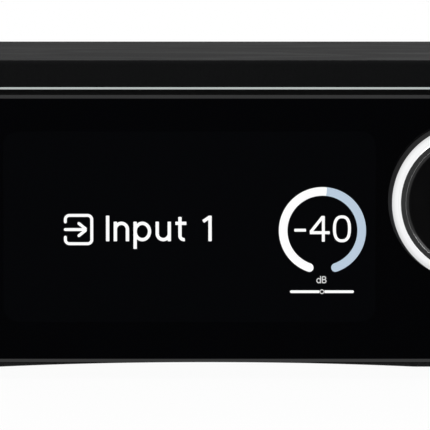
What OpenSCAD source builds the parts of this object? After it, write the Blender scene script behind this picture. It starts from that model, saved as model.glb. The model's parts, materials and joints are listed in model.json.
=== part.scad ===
// Compact half-width stereo amplifier. A metal hood sits over a steel tray, a glossy glass front has a
// display behind it and one large rotary control that also presses, and the loudspeaker, line and
// mains terminals are on the rear panel.
// The origin is at the bottom centre of the whole box. Z is up and the front faces -Y.

/* [Case] */
// Width over the hood
case_w = 220; // [216:1:250]
// Height from the floor to the top of the hood
case_h = 85; // [84:1:100]
// Depth from the face of the glass to the outer face of the rear panel
body_d = 350; // [346:1:420]
// Wall of the hood's top and sides
hood_wall = 3; // [2.5:0.5:3.5]
// Height of the hood's front band above the trim strip
hood_band_h = 7.15; // [6:0.05:7.6]
// Depth of the thick band and cheeks round the front opening
hood_band_d = 14; // [10:0.5:15]
// Width of the hood's cheeks beside the glass
cheek_w = 5; // [4:0.5:6]
// Radius of the hood's two long top edges
hood_edge_r = 3; // [1.5:0.5:5]
// Radius of the hood's top front edge
hood_front_r = 1.2; // [0.6:0.2:2]
// Height of the hood's lower edge and of the skirt above the floor
ground_gap = 3.5; // [3:0.5:4.5]
// Height of a foot, from the floor to the tray
foot_h = 6; // [5.5:0.5:8]
// Radius of a foot where it meets the tray
foot_r = 11; // [9:0.5:14]
// Sheet thickness of the tray
tray_t = 1.5; // [1.2:0.1:1.8]
// Height of the tray's front and side flanges
flange_h = 18; // [16:1:22]
// Thickness of the rear panel
rear_t = 2; // [1.5:0.5:3]
// Number of air slots in each side of the hood
vent_n = 16; // [8:1:20]

/* [Fascia] */
// Thickness of the glass
glass_t = 3; // [2.8:0.1:3.6]
// Height of the polished bevel along the glass's front edges
glass_bevel = 0.9; // [0.5:0.1:1.4]
// Depth of that bevel
glass_bevel_d = 0.65; // [0.4:0.05:1]
// How far the glass stands in front of the hood
glass_proud = 0.9; // [0.5:0.1:1.5]
// Shadow gap round the glass
glass_gap = 1.4; // [0.8:0.05:1.5]
// Height of the polished trim strip
trim_h = 0.65; // [0.5:0.05:1.1]
// How far the glass ends above the skirt's lower edge
skirt_drop = 1.3; // [1.2:0.05:2.2]
// Radius of the shallow arch in the skirt
arch_r = 1240; // [1000:10:1800]
// Thickness of the carrier's front plate
plate_t = 2.5; // [2.2:0.1:3]
// Depth of the carrier behind the glass
frame_d = 14; // [13:0.5:16]

/* [Display] */
// Centre of the display from the middle of the front
lcd_x = -4.5; // [-10:0.5:-3]
// Width of the display module
lcd_w = 104; // [96:1:106]
// Height of the display module
lcd_h = 55.5; // [50:0.5:57]
// Thickness of the display module
lcd_t = 4.2; // [3.5:0.1:4.6]

/* [Rotary control] */
// Axis of the rotary control from the middle of the front
knob_x = 69; // [66:0.5:74]
// Height of that axis above the middle of the glass
knob_up = 7.7; // [6.5:0.05:8.5]
// Radius of the knob's ring
knob_r = 20.5; // [17:0.1:21]
// How much wider the knob is at its back
knob_taper = 0.5; // [0:0.1:1]
// How far the knob stands in front of the glass
knob_proud = 14; // [12:0.5:18]
// Radial width of the bright chamfer
rim_w = 2.3; // [1.5:0.1:2.6]
// Travel when the knob is pressed
knob_press = 0.8; // [0.4:0.1:0.9]
// Radius of the shaft
shaft_r = 3; // [2.5:0.1:3.2]
// Radius of the encoder's threaded bush
bush_r = 4.5; // [4.2:0.1:4.8]

/* [Standby button and headphone socket] */
// From the side of the hood to the standby button and the receiver window
button_side = 24; // [22:1:28]
// Radius of the standby button
button_r = 4; // [3:0.1:5]
// Travel of the standby button
button_press = 0.6; // [0.3:0.1:0.7]
// Radius of the headphone socket's bore
jack_r = 3.2; // [3.1:0.05:3.4]
// Radius of the headphone socket's threaded bush
jack_bush_r = 5.5; // [5:0.1:5.8]
// Depth of the headphone socket's housing
jack_d = 28; // [24:1:34]

/* [Loudspeaker posts] */
// From the mains inlet to the middle of the row of four posts
post_side = 63.5; // [60:0.5:66]
// Spacing of the two posts of one channel
post_pitch = 19; // [18.5:0.25:20]
// How far the caps stand behind the rear panel
post_proud = 27; // [25:0.5:32]
// Radius of a screw cap
cap_r = 8.5; // [7.5:0.1:8.8]
// Radius of a threaded stud
stud_r = 4; // [3.6:0.1:4.2]
// Radius of the plug hole in the end of a stud
plug_r = 2; // [1.9:0.05:2.2]

/* [Line sockets] */
// From the side of the hood to the last column of line sockets
line_side = 22; // [18:0.5:24]
// Spacing of the columns
line_pitch_x = 18; // [16:0.5:19]
// Spacing of the two rows
line_pitch_z = 16; // [15:0.5:18]
// Outer radius of a socket's shell
shell_r = 4.15; // [4:0.05:4.3]
// How far a shell stands behind the rear panel
shell_proud = 9.5; // [8.5:0.5:12]

/* [Mains] */
// From the side of the hood to the middle of the mains inlet and the rocker switch
mains_side = 26; // [24:0.5:30]
// Tilt of the rocker to each side
rocker_tilt = 8; // [5:0.5:9]

/* [Inside] */
// Radius of the ring-core transformer
toroid_r = 54; // [46:1:56]
// Height of the ring-core transformer
toroid_h = 48; // [36:1:54]
// Height of the reservoir capacitors
can_h = 45; // [30:1:55]
// Number of fins on the heat sink
fin_n = 22; // [14:1:26]

/* [Hidden] */
$fn = 96;
// Sides of the very large circle of the skirt's arch
big_fn = 1800;
// Clearances: sheet beside sheet, a shaft that turns or slides in a hole, a screw in its thread and in
// a through hole, two moving faces, and two faces that meet
fit = 0.3;
run = 0.05;
thread = 0.05;
loose = 0.2;
air = 0.15;
meet = 0.1;
// Overlap of a cutting tool past the face that it cuts
eps = 1;

// Stations along Y: glass face, back of the glass, back of the carrier plate, hood front, tray front,
// rear panel outer and inner face
total_d = knob_proud + body_d + post_proud;
y_f = -total_d / 2 + knob_proud;
y_g = y_f + glass_t;
y_p = y_g + plate_t;
y_hood = y_f + glass_proud;
y_tray = y_g + frame_d;
y_r = y_f + body_d;
y_ri = y_r - rear_t;

// Levels along Z: hood ceiling, lower edges of the band and the trim, top, bottom and middle of the glass,
// and the tray's floor
z_ceil = case_h - hood_wall;
z_band = case_h - hood_band_h;
z_trim = z_band - trim_h;
z_ft = z_trim - glass_gap;
z_fb = ground_gap + skirt_drop;
z_fm = (z_ft + z_fb) / 2;
z_floor = foot_h + tray_t;

// Half widths: front opening, glass, tray and rear panel
open_hw = case_w / 2 - cheek_w;
glass_hw = open_hw - glass_gap;
tray_hw = case_w / 2 - hood_wall - fit;

// Standby button along X
button_x = button_side - case_w / 2;

// Rear terminals along X: mains inlet, middle of the posts and first column of line sockets
line_n = 4;
mains_x = mains_side - case_w / 2;
post_x = mains_x + post_side;
line_x = case_w / 2 - line_side - (line_n - 1) * line_pitch_x;

// Glass: corner radius. Trim: depth behind the hood's front, how far its lower edge stands proud, and the
// upright land below its slope
glass_corner = 1.5;
trim_d = 8;
trim_proud = 0.45;
trim_land = 0.1;

// Skirt: gap under the glass, and the top of the wall behind the glass, a little below the display
skirt_gap = 0.2;
skirt_room = 2.15;
skirt_top = z_fm - lcd_h / 2 - skirt_room;

// Carrier frame: gaps to the skirt and the trim, lower and upper edge, half width, wall, and radii of its
// pillars and their screw holes
frame_gap = 0.4;
frame_drop = 0.2;
frame_lo = skirt_top + frame_gap;
frame_hi = z_trim - frame_drop;
frame_hw = open_hw - fit;
frame_wall = 1.6;
pillar_r = 3;
pilot_r = 1.05;

// Display: gap behind the glass, bracket thickness, its margin round the module and its screw places
lcd_gap = 0.2;
bracket_t = 1;
bracket_side = 7;
bracket_trim = 4;
y_bracket = y_g + lcd_gap + lcd_t;
bracket_ear = [4, 9];
bracket_screws = [for (sx = [-1, 1], sz = [-1, 1])
    [lcd_x + sx * (lcd_w / 2 + bracket_ear[0]), z_fm + sz * (lcd_h / 2 - bracket_ear[1])]];
// Window of the bracket: bars beside it, over it and under it, and its corner radius
bracket_bar = [15.6, 13.9];
bracket_corner = 4;
// Window of the display's metal can: margin, corner radius and depth
lcd_rim = 2.7;
lcd_corner = 3;
lcd_recess = 0.3;

// Rotary control: axis, gap behind the knob, rim, annulus and face
knob_at = [knob_x, z_fm + knob_up];
knob_left = 0.6;
knob_gap = knob_press + knob_left;
rim_slope = 0.95;
rim_drop = rim_w * rim_slope;
rim_land = 0.8;
rim_step = 0.3;
annulus_w = 1.4;
slope_w = 1.4;
slope_d = 0.8;
face_r = knob_r - rim_w - annulus_w - slope_w;
face_sink = 0.1;
dish_n = 10;
dish_d = 0.4;
seat_d = knob_proud - rim_drop - rim_land;
hub_r = 7;
hub_reach = 0.7;
knob_wall = 2.8;
knob_ease = 0.3;
knob_front_t = 2.5;
bore_skin = 1.4;
grub_r = 1.5;
grub_in = 3.6;
grub_d = knob_gap + grub_in;
flat_cut = 0.5;
flat_at = shaft_r - flat_cut;
shaft_in = 1.5;

// Encoder: housing, bush nut, cavity and push plate, measured back from the carrier plate
enc_w = 14;
enc_d = 7;
nut_t = 2.2;
nut_w = 2.25;
nut_r = bush_r + nut_w;
nut_room = 2;
nut_hole_r = nut_r + nut_room;
collar_w = 1.5;
collar_r = shaft_r + collar_w;
collar_t = 1;
cavity_room = 0.4;
cavity_w = 2 * (collar_r + cavity_room);
cavity_y0 = 1;
cavity_back = 0.6;
cavity_y1 = enc_d - cavity_back;
push_room = 0.6;
push_y = cavity_y0 + collar_t + push_room;
push_t = 1.2;
bush_sink = 0.4;
bush_root = 0.5;
contact_r = 2;

// Boards: thickness, height of the pillars under them, places
board_t = 1.6;
pillar_h = 8;
z_board = z_floor + pillar_h;
z_top_board = z_board + board_t;
y_cb = y_p + enc_d;
// Control board: room round it, room at its outer side, and its screws from the corners and the lower edge
cb_room = 1;
cb_side = 4;
cb_corner = 4;
cb_lift = 18;
cb_x0 = lcd_x + lcd_w / 2 + bracket_side + cb_room;
cb_x1 = frame_hw - frame_wall - cb_side;
cb_z0 = frame_lo + frame_wall + cb_room;
cb_z1 = frame_hi - frame_wall - cb_room;
cb_screws = [for (x = [cb_x0 + cb_corner, cb_x1 - cb_corner], z = [cb_z0 + cb_lift, cb_z1 - cb_corner])
    [x, z]];

// Standby button, its board, and the receiver window below it
button_at = [button_x, z_fm];
ir_drop = 20;
ir_at = [button_x, z_fm - ir_drop];
ir_r = 3;
sb_half = 9;
sb_low = 7.5;
sb_high = 13;
sb_screw_up = [9, -10];
sb_screws = [for (up = sb_screw_up) [button_x, z_fm + up]];
button_proud = 0.8;
button_ease = 0.5;
button_lip = [1.4, 1.2];
button_back = glass_t + plate_t + air;
stem_r = 2;
stem_l = 3.6;
switch_w = 6;
switch_gap = 0.1;
switch_stem = [1.7, 0.8];
switch_tip = stem_l + button_press + switch_gap;
receiver_size = [6, 4, 7];
receiver_lens = [1.8, 1];
window_lip = [1.2, 1];

// Headphone socket: axis, housing, bush and ring nut
jack_w = 14;
jack_h = 11;
jack_room = 0.55;
jack_at = [knob_x, frame_lo + frame_wall + jack_h / 2 + jack_room];
jack_proud = 1.8;
jack_nut_w = 1.3;
jack_nut_r = jack_bush_r + jack_nut_w;
jack_nut_t = 1.5;
jack_nut_ease = 0.4;
jack_end = 2;

// Feet and screws of the case
foot_in = [28, 40];
foot_x = case_w / 2 - foot_in[0];
foot_y = [y_f + foot_in[1], y_r - foot_in[1]];
screw_r = 1.5;
screw_head_r = 2.8;
screw_head_h = 1.8;
rear_screw_l = 7;
lug_screw_l = 9;
foot_screw_out = 4;
foot_nut_r = 3.1;
foot_nut_t = 2.4;
foot_lip = 0.8;
foot_taper = 2;
foot_bore_room = 1;
small_head = [2, 1.2];
small_screw_l = 3;
side_screw_in = 46;
side_screw_y = [y_f + side_screw_in, y_r - side_screw_in];
side_screw_z = foot_h + flange_h / 2;
csk_r = 4;
csk_d = 2.2;
side_screw_r = 2;
side_screw_l = 9;
lug = 10;
lug_in = 8.7;
lug_x = tray_hw - lug_in;
lug_z = z_ceil - lug / 2;
rear_flange_h = 9;
rear_low_up = 5;
rear_low_z = foot_h + rear_low_up;
// Rear lower screws beside the lugs, right of the mains inlet and left of the line sockets
rear_mid = [24, 11];
rear_low_x = [-lug_x, mains_x + rear_mid[0], line_x - rear_mid[1], lug_x];

// Air slots: width, height and pitch
vent_w = 3;
vent_h = 30;
vent_pitch = 8;
vent_in = 40;
vent_up = 4;
vent_y0 = y_r - vent_in - vent_pitch * (vent_n - 1);
vent_z = foot_h + flange_h + vent_up + vent_h / 2;
// Slots in the tray's floor on each side: number, first place, pitch, length and distance of the second row
tray_vent_n = 9;
tray_vent_x = 18;
tray_vent_pitch = 7;
tray_vent_h = 24;
tray_vent_gap = 30;

// Loudspeaker posts: places, base, washer, cap and stud, measured back from the rear panel
post_z = 26;
pair_extra = 2;
post_at = [for (i = [0:3]) [post_x + (i - 1.5) * post_pitch + (i > 1 ? 1 : -1) * pair_extra / 2, post_z]];
base_r = 9;
base_t = 4.5;
base_ease = 1;
neck_r = 6;
washer_t = 1.2;
washer_in = 1;
washer_y = base_t + meet;
cap_y = washer_y + washer_t + meet;
collar_h = 3;
collar_in = 1;
collar_r_cap = cap_r - collar_in;
mouth_gap = 0.4;
stud_sink = 3;
stud_end = post_proud - stud_sink;
stud_tail = 12;
plug_depth = 15;
mouth_room = 1;
mouth_r = stud_r + mouth_room;
flute_n = 12;
flute_r = 1.2;
flute_out = 0.4;
cap_ease = 0.6;
pad_t = 1.5;
hex_w = 3.6;
hex_r = stud_r + hex_w;
hex_t = 3.5;
wire_r = 1.4;
wire_up = 0.6;

// Earth post
earth_z = 24;
earth_at = [line_x + (line_n - 1) * line_pitch_x, earth_z];
earth_r = 2;
earth_hex_r = 4;
earth_hex_t = 2.4;
earth_cap_r = 5;
earth_cap_h = 6;
earth_washer_t = 0.8;
earth_washer_in = 0.5;
earth_cap_y = earth_hex_t + earth_washer_t + 2 * meet;
earth_tail = 8;
earth_tip = 1.5;
groove_n = 18;
groove_r = 0.5;
groove_out = 0.15;

// Line sockets
line_z = 46;
line_at = [for (i = [0:line_n - 1], j = [0, 1]) [line_x + i * line_pitch_x, line_z + j * line_pitch_z, j]];
shell_wall = 0.85;
shell_in = 3;
shell_flange_r = 6;
shell_flange_t = 1.2;
insert_sink = 0.7;
insert_end = shell_proud - insert_sink;
pin_r = 1.6;
pin_depth = 8;
block_w = 14;
block_d = 12;
// How far the input board reaches past the sockets' axes: left, down, right and up
input_edge = [12, 11, 10, 9];

// Mains inlet: flange, housing, cavity and pins
inlet_z = 28;
inlet_at = [mains_x, inlet_z];
inlet_flange = [31, 24];
inlet_body = [27, 19.6];
inlet_cavity = [24.4, 16.6];
inlet_t = 2.2;
inlet_depth = 17;
inlet_back = 20;
inlet_bevel = 5;
inlet_pin = [2, 4];
inlet_pins = [[-7, -2], [0, 2], [7, -2]];
inlet_tip = 5;
inlet_tail = 6;
inlet_corner = 2;

// Rear air slots: pitch, room to the inlet and sockets, room to the last post, and the rows' spans and
// heights
rear_vent_pitch = 6;
vent_room = 12;
post_vent_room = 16;
upper_vent_x = [mains_x + inlet_flange[0] / 2 + vent_room, line_x - shell_flange_r - vent_room];
upper_vent_z = 58;
upper_vent_h = 22;
lower_vent_x = [post_at[3][0] + base_r + post_vent_room, earth_at[0] - earth_cap_r - vent_room];
lower_vent_h = 14;

// Mains rocker: bezel, housing, opening, and the rocker about its pivot
rocker_z = 60;
rocker_at = [mains_x, rocker_z];
bezel = [15.5, 23.6];
bezel_t = 1.8;
bezel_corner = 1.5;
rocker_body = [13.2, 20.6];
rocker_hole = [11.6, 18.6];
rocker_back = 13;
rocker_floor = 2;
rocker_w = 11;
rocker_half = 8.2;
rocker_end = 5.6;
rocker_dip = 4.4;
rocker_edge = -0.5;
rocker_keel = [-2.5, 3.5];
pivot_in = 2;
pivot_y = y_r - pivot_in;
pivot_r = 1.2;
pivot_out = 0.6;

// Inside: transformer place, supply board, main board, heat sink
toroid_x = -34;
toroid_in = 6;
toroid_y = y_tray + tray_t + toroid_in + toroid_r;
toroid_bore = 18;
toroid_round = 10;
pad_h = 2;
clamp_in = 14;
clamp_r = toroid_r - clamp_in;
clamp_t = 2;
bolt_r = 4;
bolt_out = 9;
bolt_head = [6.8, 3];
bolt_nut = [7.2, 6];
z_toroid = z_floor + pad_h;
// Supply board: room beside the transformer and the tray's side, and its reach before and behind the axis
sup_room = 8;
sup_side = 22;
sup_reach = [34, 48];
sup_x0 = toroid_x + toroid_r + sup_room;
sup_x1 = tray_hw - sup_side;
sup_y0 = toroid_y - sup_reach[0];
sup_y1 = toroid_y + sup_reach[1];
// Main board: room at its sides, front and back. Heat sink: its place on that board
main_side = 8;
main_room = 8;
main_back = 22;
main_hw = tray_hw - main_side;
main_y0 = toroid_y + toroid_r + main_room;
main_y1 = y_ri - main_back;
sink_side = 14;
sink_in = 8;
sink_hw = main_hw - sink_side;
sink_y0 = main_y0 + sink_in;
sink_base = 8;
sink_d = 40;
sink_h = 50;
fin_t = 2;
// Pillars: distance from a board's edges, and of the main board's front ones in the middle and at the sides
pillar_in = 5;
front_pillar_in = [4, 14];
sup_pillars = [for (x = [sup_x0 + pillar_in, sup_x1 - pillar_in],
    y = [sup_y0 + pillar_in, sup_y1 - pillar_in])
    [x, y]];
main_pillars = [for (s = [-1, 0, 1], e = [0, 1])
    [s * (main_hw - pillar_in), e == 1 ? main_y1 - pillar_in : main_y0 + front_pillar_in[s == 0 ? 0 : 1]]];
can_r = 12.5;
can_ease = 1.2;
can_groove = [0.8, 4, 5.5];
can_pitch = [27, 30];
can_shift = 6;
can_at = [for (i = [0, 1], j = [0, 1])
    [(sup_x0 + sup_x1) / 2 + (i - 0.5) * can_pitch[0], toroid_y + can_shift + (j - 0.5) * can_pitch[1]]];
bridge = [28, 10, 28];
bridge_edge = 2;
transistor = [16, 5, 21];
transistor_z = 12;
transistor_pitch = 36;
lead = [1.5, 0.8];
lead_pitch = 5;
lead_in = 2;
relay = [20, 28, 16];
relay_x = 40;
relay_edge = 8;

// Ribbon cable: width, thickness, bend radius and its run in Y and Z
rib_side = 19.5;
rib_x = tray_hw - rib_side;
rib_w = 10;
rib_t = 1;
rib_bend = 4;
rib_plug = 5;
rib_plug_side = 0.5;
rib_in = 8;
rib_rise = 7;
rib_end = 1;
rib_y = [y_cb + board_t + rib_plug, y_tray + tray_t + rib_in, main_y0 - rib_rise, main_y0 + rib_end];
rib_z = [knob_at[1], z_floor + rib_t / 2, z_top_board + rib_plug / 2];

// Helpers: a box between two corners, extrusions of a flat shape along Y and X, a cylinder along Y at
// [x, z], a shape turned about such an axis whose profile is [radius, distance behind or before a plane],
// a rectangle with round corners and one with two bevelled front corners
module box(lo, hi) translate(lo) cube(hi - lo);
module along_y(y0, y1) translate([0, y1, 0]) rotate([90, 0, 0]) linear_extrude(y1 - y0) children();
module along_x(x0, x1) translate([x0, 0, 0]) rotate([90, 0, 90]) linear_extrude(x1 - x0) children();
module rod(at, y0, y1, r) translate([at[0], y0, at[1]]) rotate([-90, 0, 0]) cylinder(r = r, h = y1 - y0);
module ring(at, y0, y1, r_in, r_out) difference() {
    rod(at, y0, y1, r_out);
    rod(at, y0 - eps, y1 + eps, r_in);
}
module turned_back(at, y) translate([at[0], y, at[1]]) rotate([-90, 0, 0]) rotate_extrude() children();
module turned_front(at, y) translate([at[0], y, at[1]]) rotate([90, 0, 0]) rotate_extrude() children();
module post(at, z0, z1, r) translate([at[0], at[1], z0]) cylinder(r = r, h = z1 - z0);
module soft_rect(size, r) {
    square([size[0] - 2 * r, size[1]], center = true);
    square([size[0], size[1] - 2 * r], center = true);
    for (sx = [-1, 1], sy = [-1, 1])
        translate([sx * (size[0] / 2 - r), sy * (size[1] / 2 - r)]) circle(r);
}
module front_bevel(d, h, bevel) polygon([[0, bevel[1] - h / 2], [bevel[0], -h / 2], [d, -h / 2],
    [d, h / 2], [bevel[0], h / 2], [0, h / 2 - bevel[1]]]);
module slot(w, h) {
    square([w, h - w], center = true);
    for (s = [-1, 1]) translate([0, s * (h - w) / 2]) circle(w / 2);
}
module hex(at, y0, y1, r) translate([at[0], y0, at[1]]) rotate([-90, 0, 0])
    cylinder(r = r, h = y1 - y0, $fn = 6);

// Case

// Outline of the hood seen from the front, with round long edges
module hood_outline() {
    translate([-case_w / 2, ground_gap]) square([case_w, case_h - ground_gap - hood_edge_r]);
    translate([-case_w / 2 + hood_edge_r, ground_gap])
        square([case_w - 2 * hood_edge_r, case_h - ground_gap]);
    for (s = [-1, 1]) translate([s * (case_w / 2 - hood_edge_r), case_h - hood_edge_r]) circle(hood_edge_r);
}

// Outline of the hood seen from the side, with a round top front edge
module hood_side() {
    translate([y_hood, ground_gap]) square([y_r - y_hood, case_h - ground_gap - hood_front_r]);
    translate([y_hood + hood_front_r, ground_gap])
        square([y_r - y_hood - hood_front_r, case_h - ground_gap]);
    translate([y_hood + hood_front_r, case_h - hood_front_r]) circle(hood_front_r);
}

// A countersunk screw in the hood's side, drawn along -X from the outer face, grown by g for its hole
module side_screw(g) {
    rotate([0, -90, 0]) cylinder(r1 = csk_r + g, r2 = side_screw_r + g, h = csk_d);
    rotate([0, -90, 0]) cylinder(r = side_screw_r + g, h = side_screw_l);
}
module at_side_screws() for (s = [0, 1], y = side_screw_y)
    mirror([s, 0, 0]) translate([case_w / 2, y, side_screw_z]) children();

module hood() color([0.07, 0.07, 0.075]) {
    difference() {
        intersection() {
            along_y(y_hood, y_r) hood_outline();
            along_x(-case_w / 2, case_w / 2) hood_side();
        }
        box([-case_w / 2 + hood_wall, y_hood + hood_band_d, 0], [case_w / 2 - hood_wall, y_r + eps, z_ceil]);
        box([-open_hw, y_hood - eps, 0], [open_hw, y_hood + hood_band_d + eps, z_band]);
        for (i = [0:vent_n - 1]) along_x(-case_w / 2 - eps, case_w / 2 + eps)
            translate([vent_y0 + i * vent_pitch, vent_z]) slot(vent_w, vent_h);
        at_side_screws() side_screw(thread);
    }
    // Lugs under the roof that take the rear panel's upper screws
    for (s = [-1, 1]) difference() {
        box([s * lug_x - lug / 2, y_ri - lug, z_ceil - lug], [s * lug_x + lug / 2, y_ri, z_ceil]);
        rod([s * lug_x, lug_z], y_ri - lug - eps, y_ri + eps, screw_r + thread);
    }
}

// Bright strip that slopes out from the hood's lower edge
module trim_strip() color([0.8, 0.81, 0.82]) along_x(-open_hw + run, open_hw - run) polygon([
    [y_hood - trim_proud, z_trim], [y_hood - trim_proud, z_trim + trim_land], [y_hood, z_band],
    [y_hood + trim_d, z_band], [y_hood + trim_d, z_trim]]);

// The polished glass, with bevelled front edges and holes for the controls
module fascia_glass() color([0.02, 0.02, 0.03]) difference() {
    intersection() {
        along_y(y_f, y_g) translate([0, z_fm]) soft_rect([2 * glass_hw, z_ft - z_fb], glass_corner);
        along_x(-glass_hw, glass_hw) translate([y_f, z_fm])
            front_bevel(glass_t, z_ft - z_fb, [glass_bevel_d, glass_bevel]);
        translate([0, y_f, z_fb]) linear_extrude(z_ft - z_fb)
            rotate(90) front_bevel(glass_t, 2 * glass_hw, [glass_bevel_d, glass_bevel]);
    }
    rod(knob_at, y_f - eps, y_g + eps, nut_hole_r);
    rod(jack_at, y_f - eps, y_g + eps, jack_bush_r + loose);
    rod(button_at, y_f - eps, y_g + eps, button_r + loose);
    rod(ir_at, y_f - eps, y_g + eps, ir_r + run);
}

// Bar under the glass with a shallow arch across its middle
module front_skirt() color([0.09, 0.09, 0.095]) difference() {
    union() {
        box([-open_hw + fit, y_hood, ground_gap], [open_hw - fit, y_tray, z_fb - skirt_gap]);
        box([-open_hw + fit, y_g + fit, ground_gap], [open_hw - fit, y_tray, skirt_top]);
    }
    rod([0, z_fb - arch_r], y_f - eps, y_tray + eps, arch_r, $fn = big_fn);
}

// Carrier behind the glass: a plate with a display window, a rim round it and pillars for the boards
module fascia_frame() color([0.05, 0.05, 0.05]) difference() {
    union() {
        difference() {
            box([-frame_hw, y_g, frame_lo], [frame_hw, y_tray, frame_hi]);
            box([-frame_hw + frame_wall, y_p, frame_lo + frame_wall],
                [frame_hw - frame_wall, y_tray + eps, frame_hi - frame_wall]);
        }
        for (p = cb_screws) rod(p, y_p - eps, y_cb, pillar_r);
        for (p = sb_screws) rod(p, y_p - eps, y_cb, pillar_r);
        for (p = bracket_screws) rod(p, y_p - eps, y_bracket, pillar_r);
    }
    box([lcd_x - lcd_w / 2 - fit, y_g - eps, z_fm - lcd_h / 2 - fit],
        [lcd_x + lcd_w / 2 + fit, y_p + 2 * eps, z_fm + lcd_h / 2 + fit]);
    for (p = concat(cb_screws, sb_screws)) rod(p, y_p - eps, y_cb + eps, pilot_r);
    for (p = bracket_screws) rod(p, y_p - eps, y_bracket + eps, pilot_r);
    rod(knob_at, y_g - eps, y_p + eps, bush_r + thread);
    rod(jack_at, y_g - eps, y_p + eps, jack_bush_r + loose);
    rod(button_at, y_g - eps, y_p + eps, button_r + loose);
    rod(ir_at, y_g - eps, y_p + eps, ir_r + run);
}

// Folded tray with flanges all round, slots for air and a notch for the headphone socket
module base_tray() color([0.3, 0.31, 0.32]) difference() {
    union() {
        box([-tray_hw, y_tray, foot_h], [tray_hw, y_ri, z_floor]);
        box([-tray_hw, y_tray, foot_h], [tray_hw, y_tray + tray_t, foot_h + flange_h]);
        box([-tray_hw, y_ri - tray_t, foot_h], [tray_hw, y_ri, foot_h + rear_flange_h]);
        for (s = [0, 1]) mirror([s, 0, 0])
            box([tray_hw - tray_t, y_tray, foot_h], [tray_hw, y_ri, foot_h + flange_h]);
    }
    box([jack_at[0] - jack_w / 2 - fit, y_tray - eps, jack_at[1] - jack_h / 2 - fit],
        [jack_at[0] + jack_w / 2 + fit, y_tray + tray_t + eps, foot_h + flange_h + eps]);
    for (sx = [-1, 1], y = foot_y) post([sx * foot_x, y], 0, z_floor + eps, screw_r + loose);
    post([toroid_x, toroid_y], 0, z_floor + eps, bolt_r + loose);
    for (x = rear_low_x) rod([x, rear_low_z], y_ri - tray_t - eps, y_ri + eps, screw_r + thread);
    at_side_screws() side_screw(thread);
    for (sx = [-1, 1], i = [0:tray_vent_n - 1], y = [sink_y0 + sink_d / 2, sink_y0 + sink_d + tray_vent_gap])
        translate([sx * (tray_vent_x + tray_vent_pitch * i), y, 0])
            linear_extrude(z_floor + eps) slot(vent_w, tray_vent_h);
}

module rear_panel() color([0.06, 0.06, 0.065]) difference() {
    box([-tray_hw, y_ri, foot_h], [tray_hw, y_r, z_ceil - fit]);
    for (p = post_at) rod(p, y_ri - eps, y_r + eps, neck_r + run);
    for (p = line_at) rod(p, y_ri - eps, y_r + eps, shell_r + loose);
    rod(earth_at, y_ri - eps, y_r + eps, earth_r + run);
    along_y(y_ri - eps, y_r + eps) translate(inlet_at) square(inlet_body + [run, run] * 2, center = true);
    along_y(y_ri - eps, y_r + eps) translate(rocker_at) square(rocker_body + [run, run] * 2, center = true);
    for (x = rear_low_x) rod([x, rear_low_z], y_ri - eps, y_r + eps, screw_r + loose);
    for (s = [-1, 1]) rod([s * lug_x, lug_z], y_ri - eps, y_r + eps, screw_r + loose);
    // Air slots above the loudspeaker posts and beside the earth post
    for (x = [upper_vent_x[0]:rear_vent_pitch:upper_vent_x[1]]) along_y(y_ri - eps, y_r + eps)
        translate([x, upper_vent_z]) slot(vent_w, upper_vent_h);
    for (x = [lower_vent_x[0]:rear_vent_pitch:lower_vent_x[1]]) along_y(y_ri - eps, y_r + eps)
        translate([x, earth_at[1]]) slot(vent_w, lower_vent_h);
}

// Rubber feet with a counterbore for the screw
module feet() color([0.04, 0.04, 0.04]) for (sx = [-1, 1], y = foot_y)
    translate([sx * foot_x, y, 0]) difference() {
        rotate_extrude() polygon([[0, 0], [foot_r - foot_taper, 0],
            [foot_r - foot_taper + foot_lip, foot_lip], [foot_r, foot_h], [0, foot_h]]);
        translate([0, 0, -eps]) cylinder(r = screw_head_r + foot_bore_room, h = foot_h / 2 + eps);
        translate([0, 0, -eps]) cylinder(r = screw_r + loose, h = foot_h + 2 * eps);
    }

// Foot screws from below, with their nuts on the tray's floor
module foot_screws() color([0.7, 0.7, 0.72]) for (sx = [-1, 1], y = foot_y) {
    post([sx * foot_x, y], foot_h / 2 - screw_head_h, foot_h / 2, screw_head_r);
    post([sx * foot_x, y], foot_h / 2 - screw_head_h, z_floor + foot_screw_out, screw_r);
    translate([sx * foot_x, y, z_floor]) cylinder(r = foot_nut_r, h = foot_nut_t, $fn = 6);
}

module hood_screws() color([0.12, 0.12, 0.12]) at_side_screws() side_screw(0);

// A pan-head screw along -Y with its head behind the plane y
module pan_screw(at, y, l) {
    rod(at, y, y + screw_head_h, screw_head_r);
    rod(at, y - l, y + screw_head_h / 2, screw_r);
}
module rear_screws() color([0.12, 0.12, 0.12]) {
    for (x = rear_low_x) pan_screw([x, rear_low_z], y_r, rear_screw_l);
    for (s = [-1, 1]) pan_screw([s * lug_x, lug_z], y_r, lug_screw_l);
}

// Front boards and display

// Display in a metal can with a window
module display_module() color([0.03, 0.04, 0.07]) difference() {
    box([lcd_x - lcd_w / 2, y_g + lcd_gap, z_fm - lcd_h / 2],
        [lcd_x + lcd_w / 2, y_bracket, z_fm + lcd_h / 2]);
    along_y(y_g, y_g + lcd_gap + lcd_recess) translate([lcd_x, z_fm])
        soft_rect([lcd_w, lcd_h] - 2 * [lcd_rim, lcd_rim], lcd_corner);
}

module display_bracket() color([0.6, 0.6, 0.6]) difference() {
    box([lcd_x - lcd_w / 2 - bracket_side, y_bracket, z_fm - lcd_h / 2 + bracket_trim],
        [lcd_x + lcd_w / 2 + bracket_side, y_bracket + bracket_t, z_fm + lcd_h / 2 - bracket_trim]);
    along_y(y_bracket - eps, y_bracket + bracket_t + eps) translate([lcd_x, z_fm])
        soft_rect([lcd_w, lcd_h] - 2 * bracket_bar, bracket_corner);
    for (p = bracket_screws) rod(p, y_bracket - eps, y_bracket + bracket_t + eps, pilot_r + loose);
}

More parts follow.
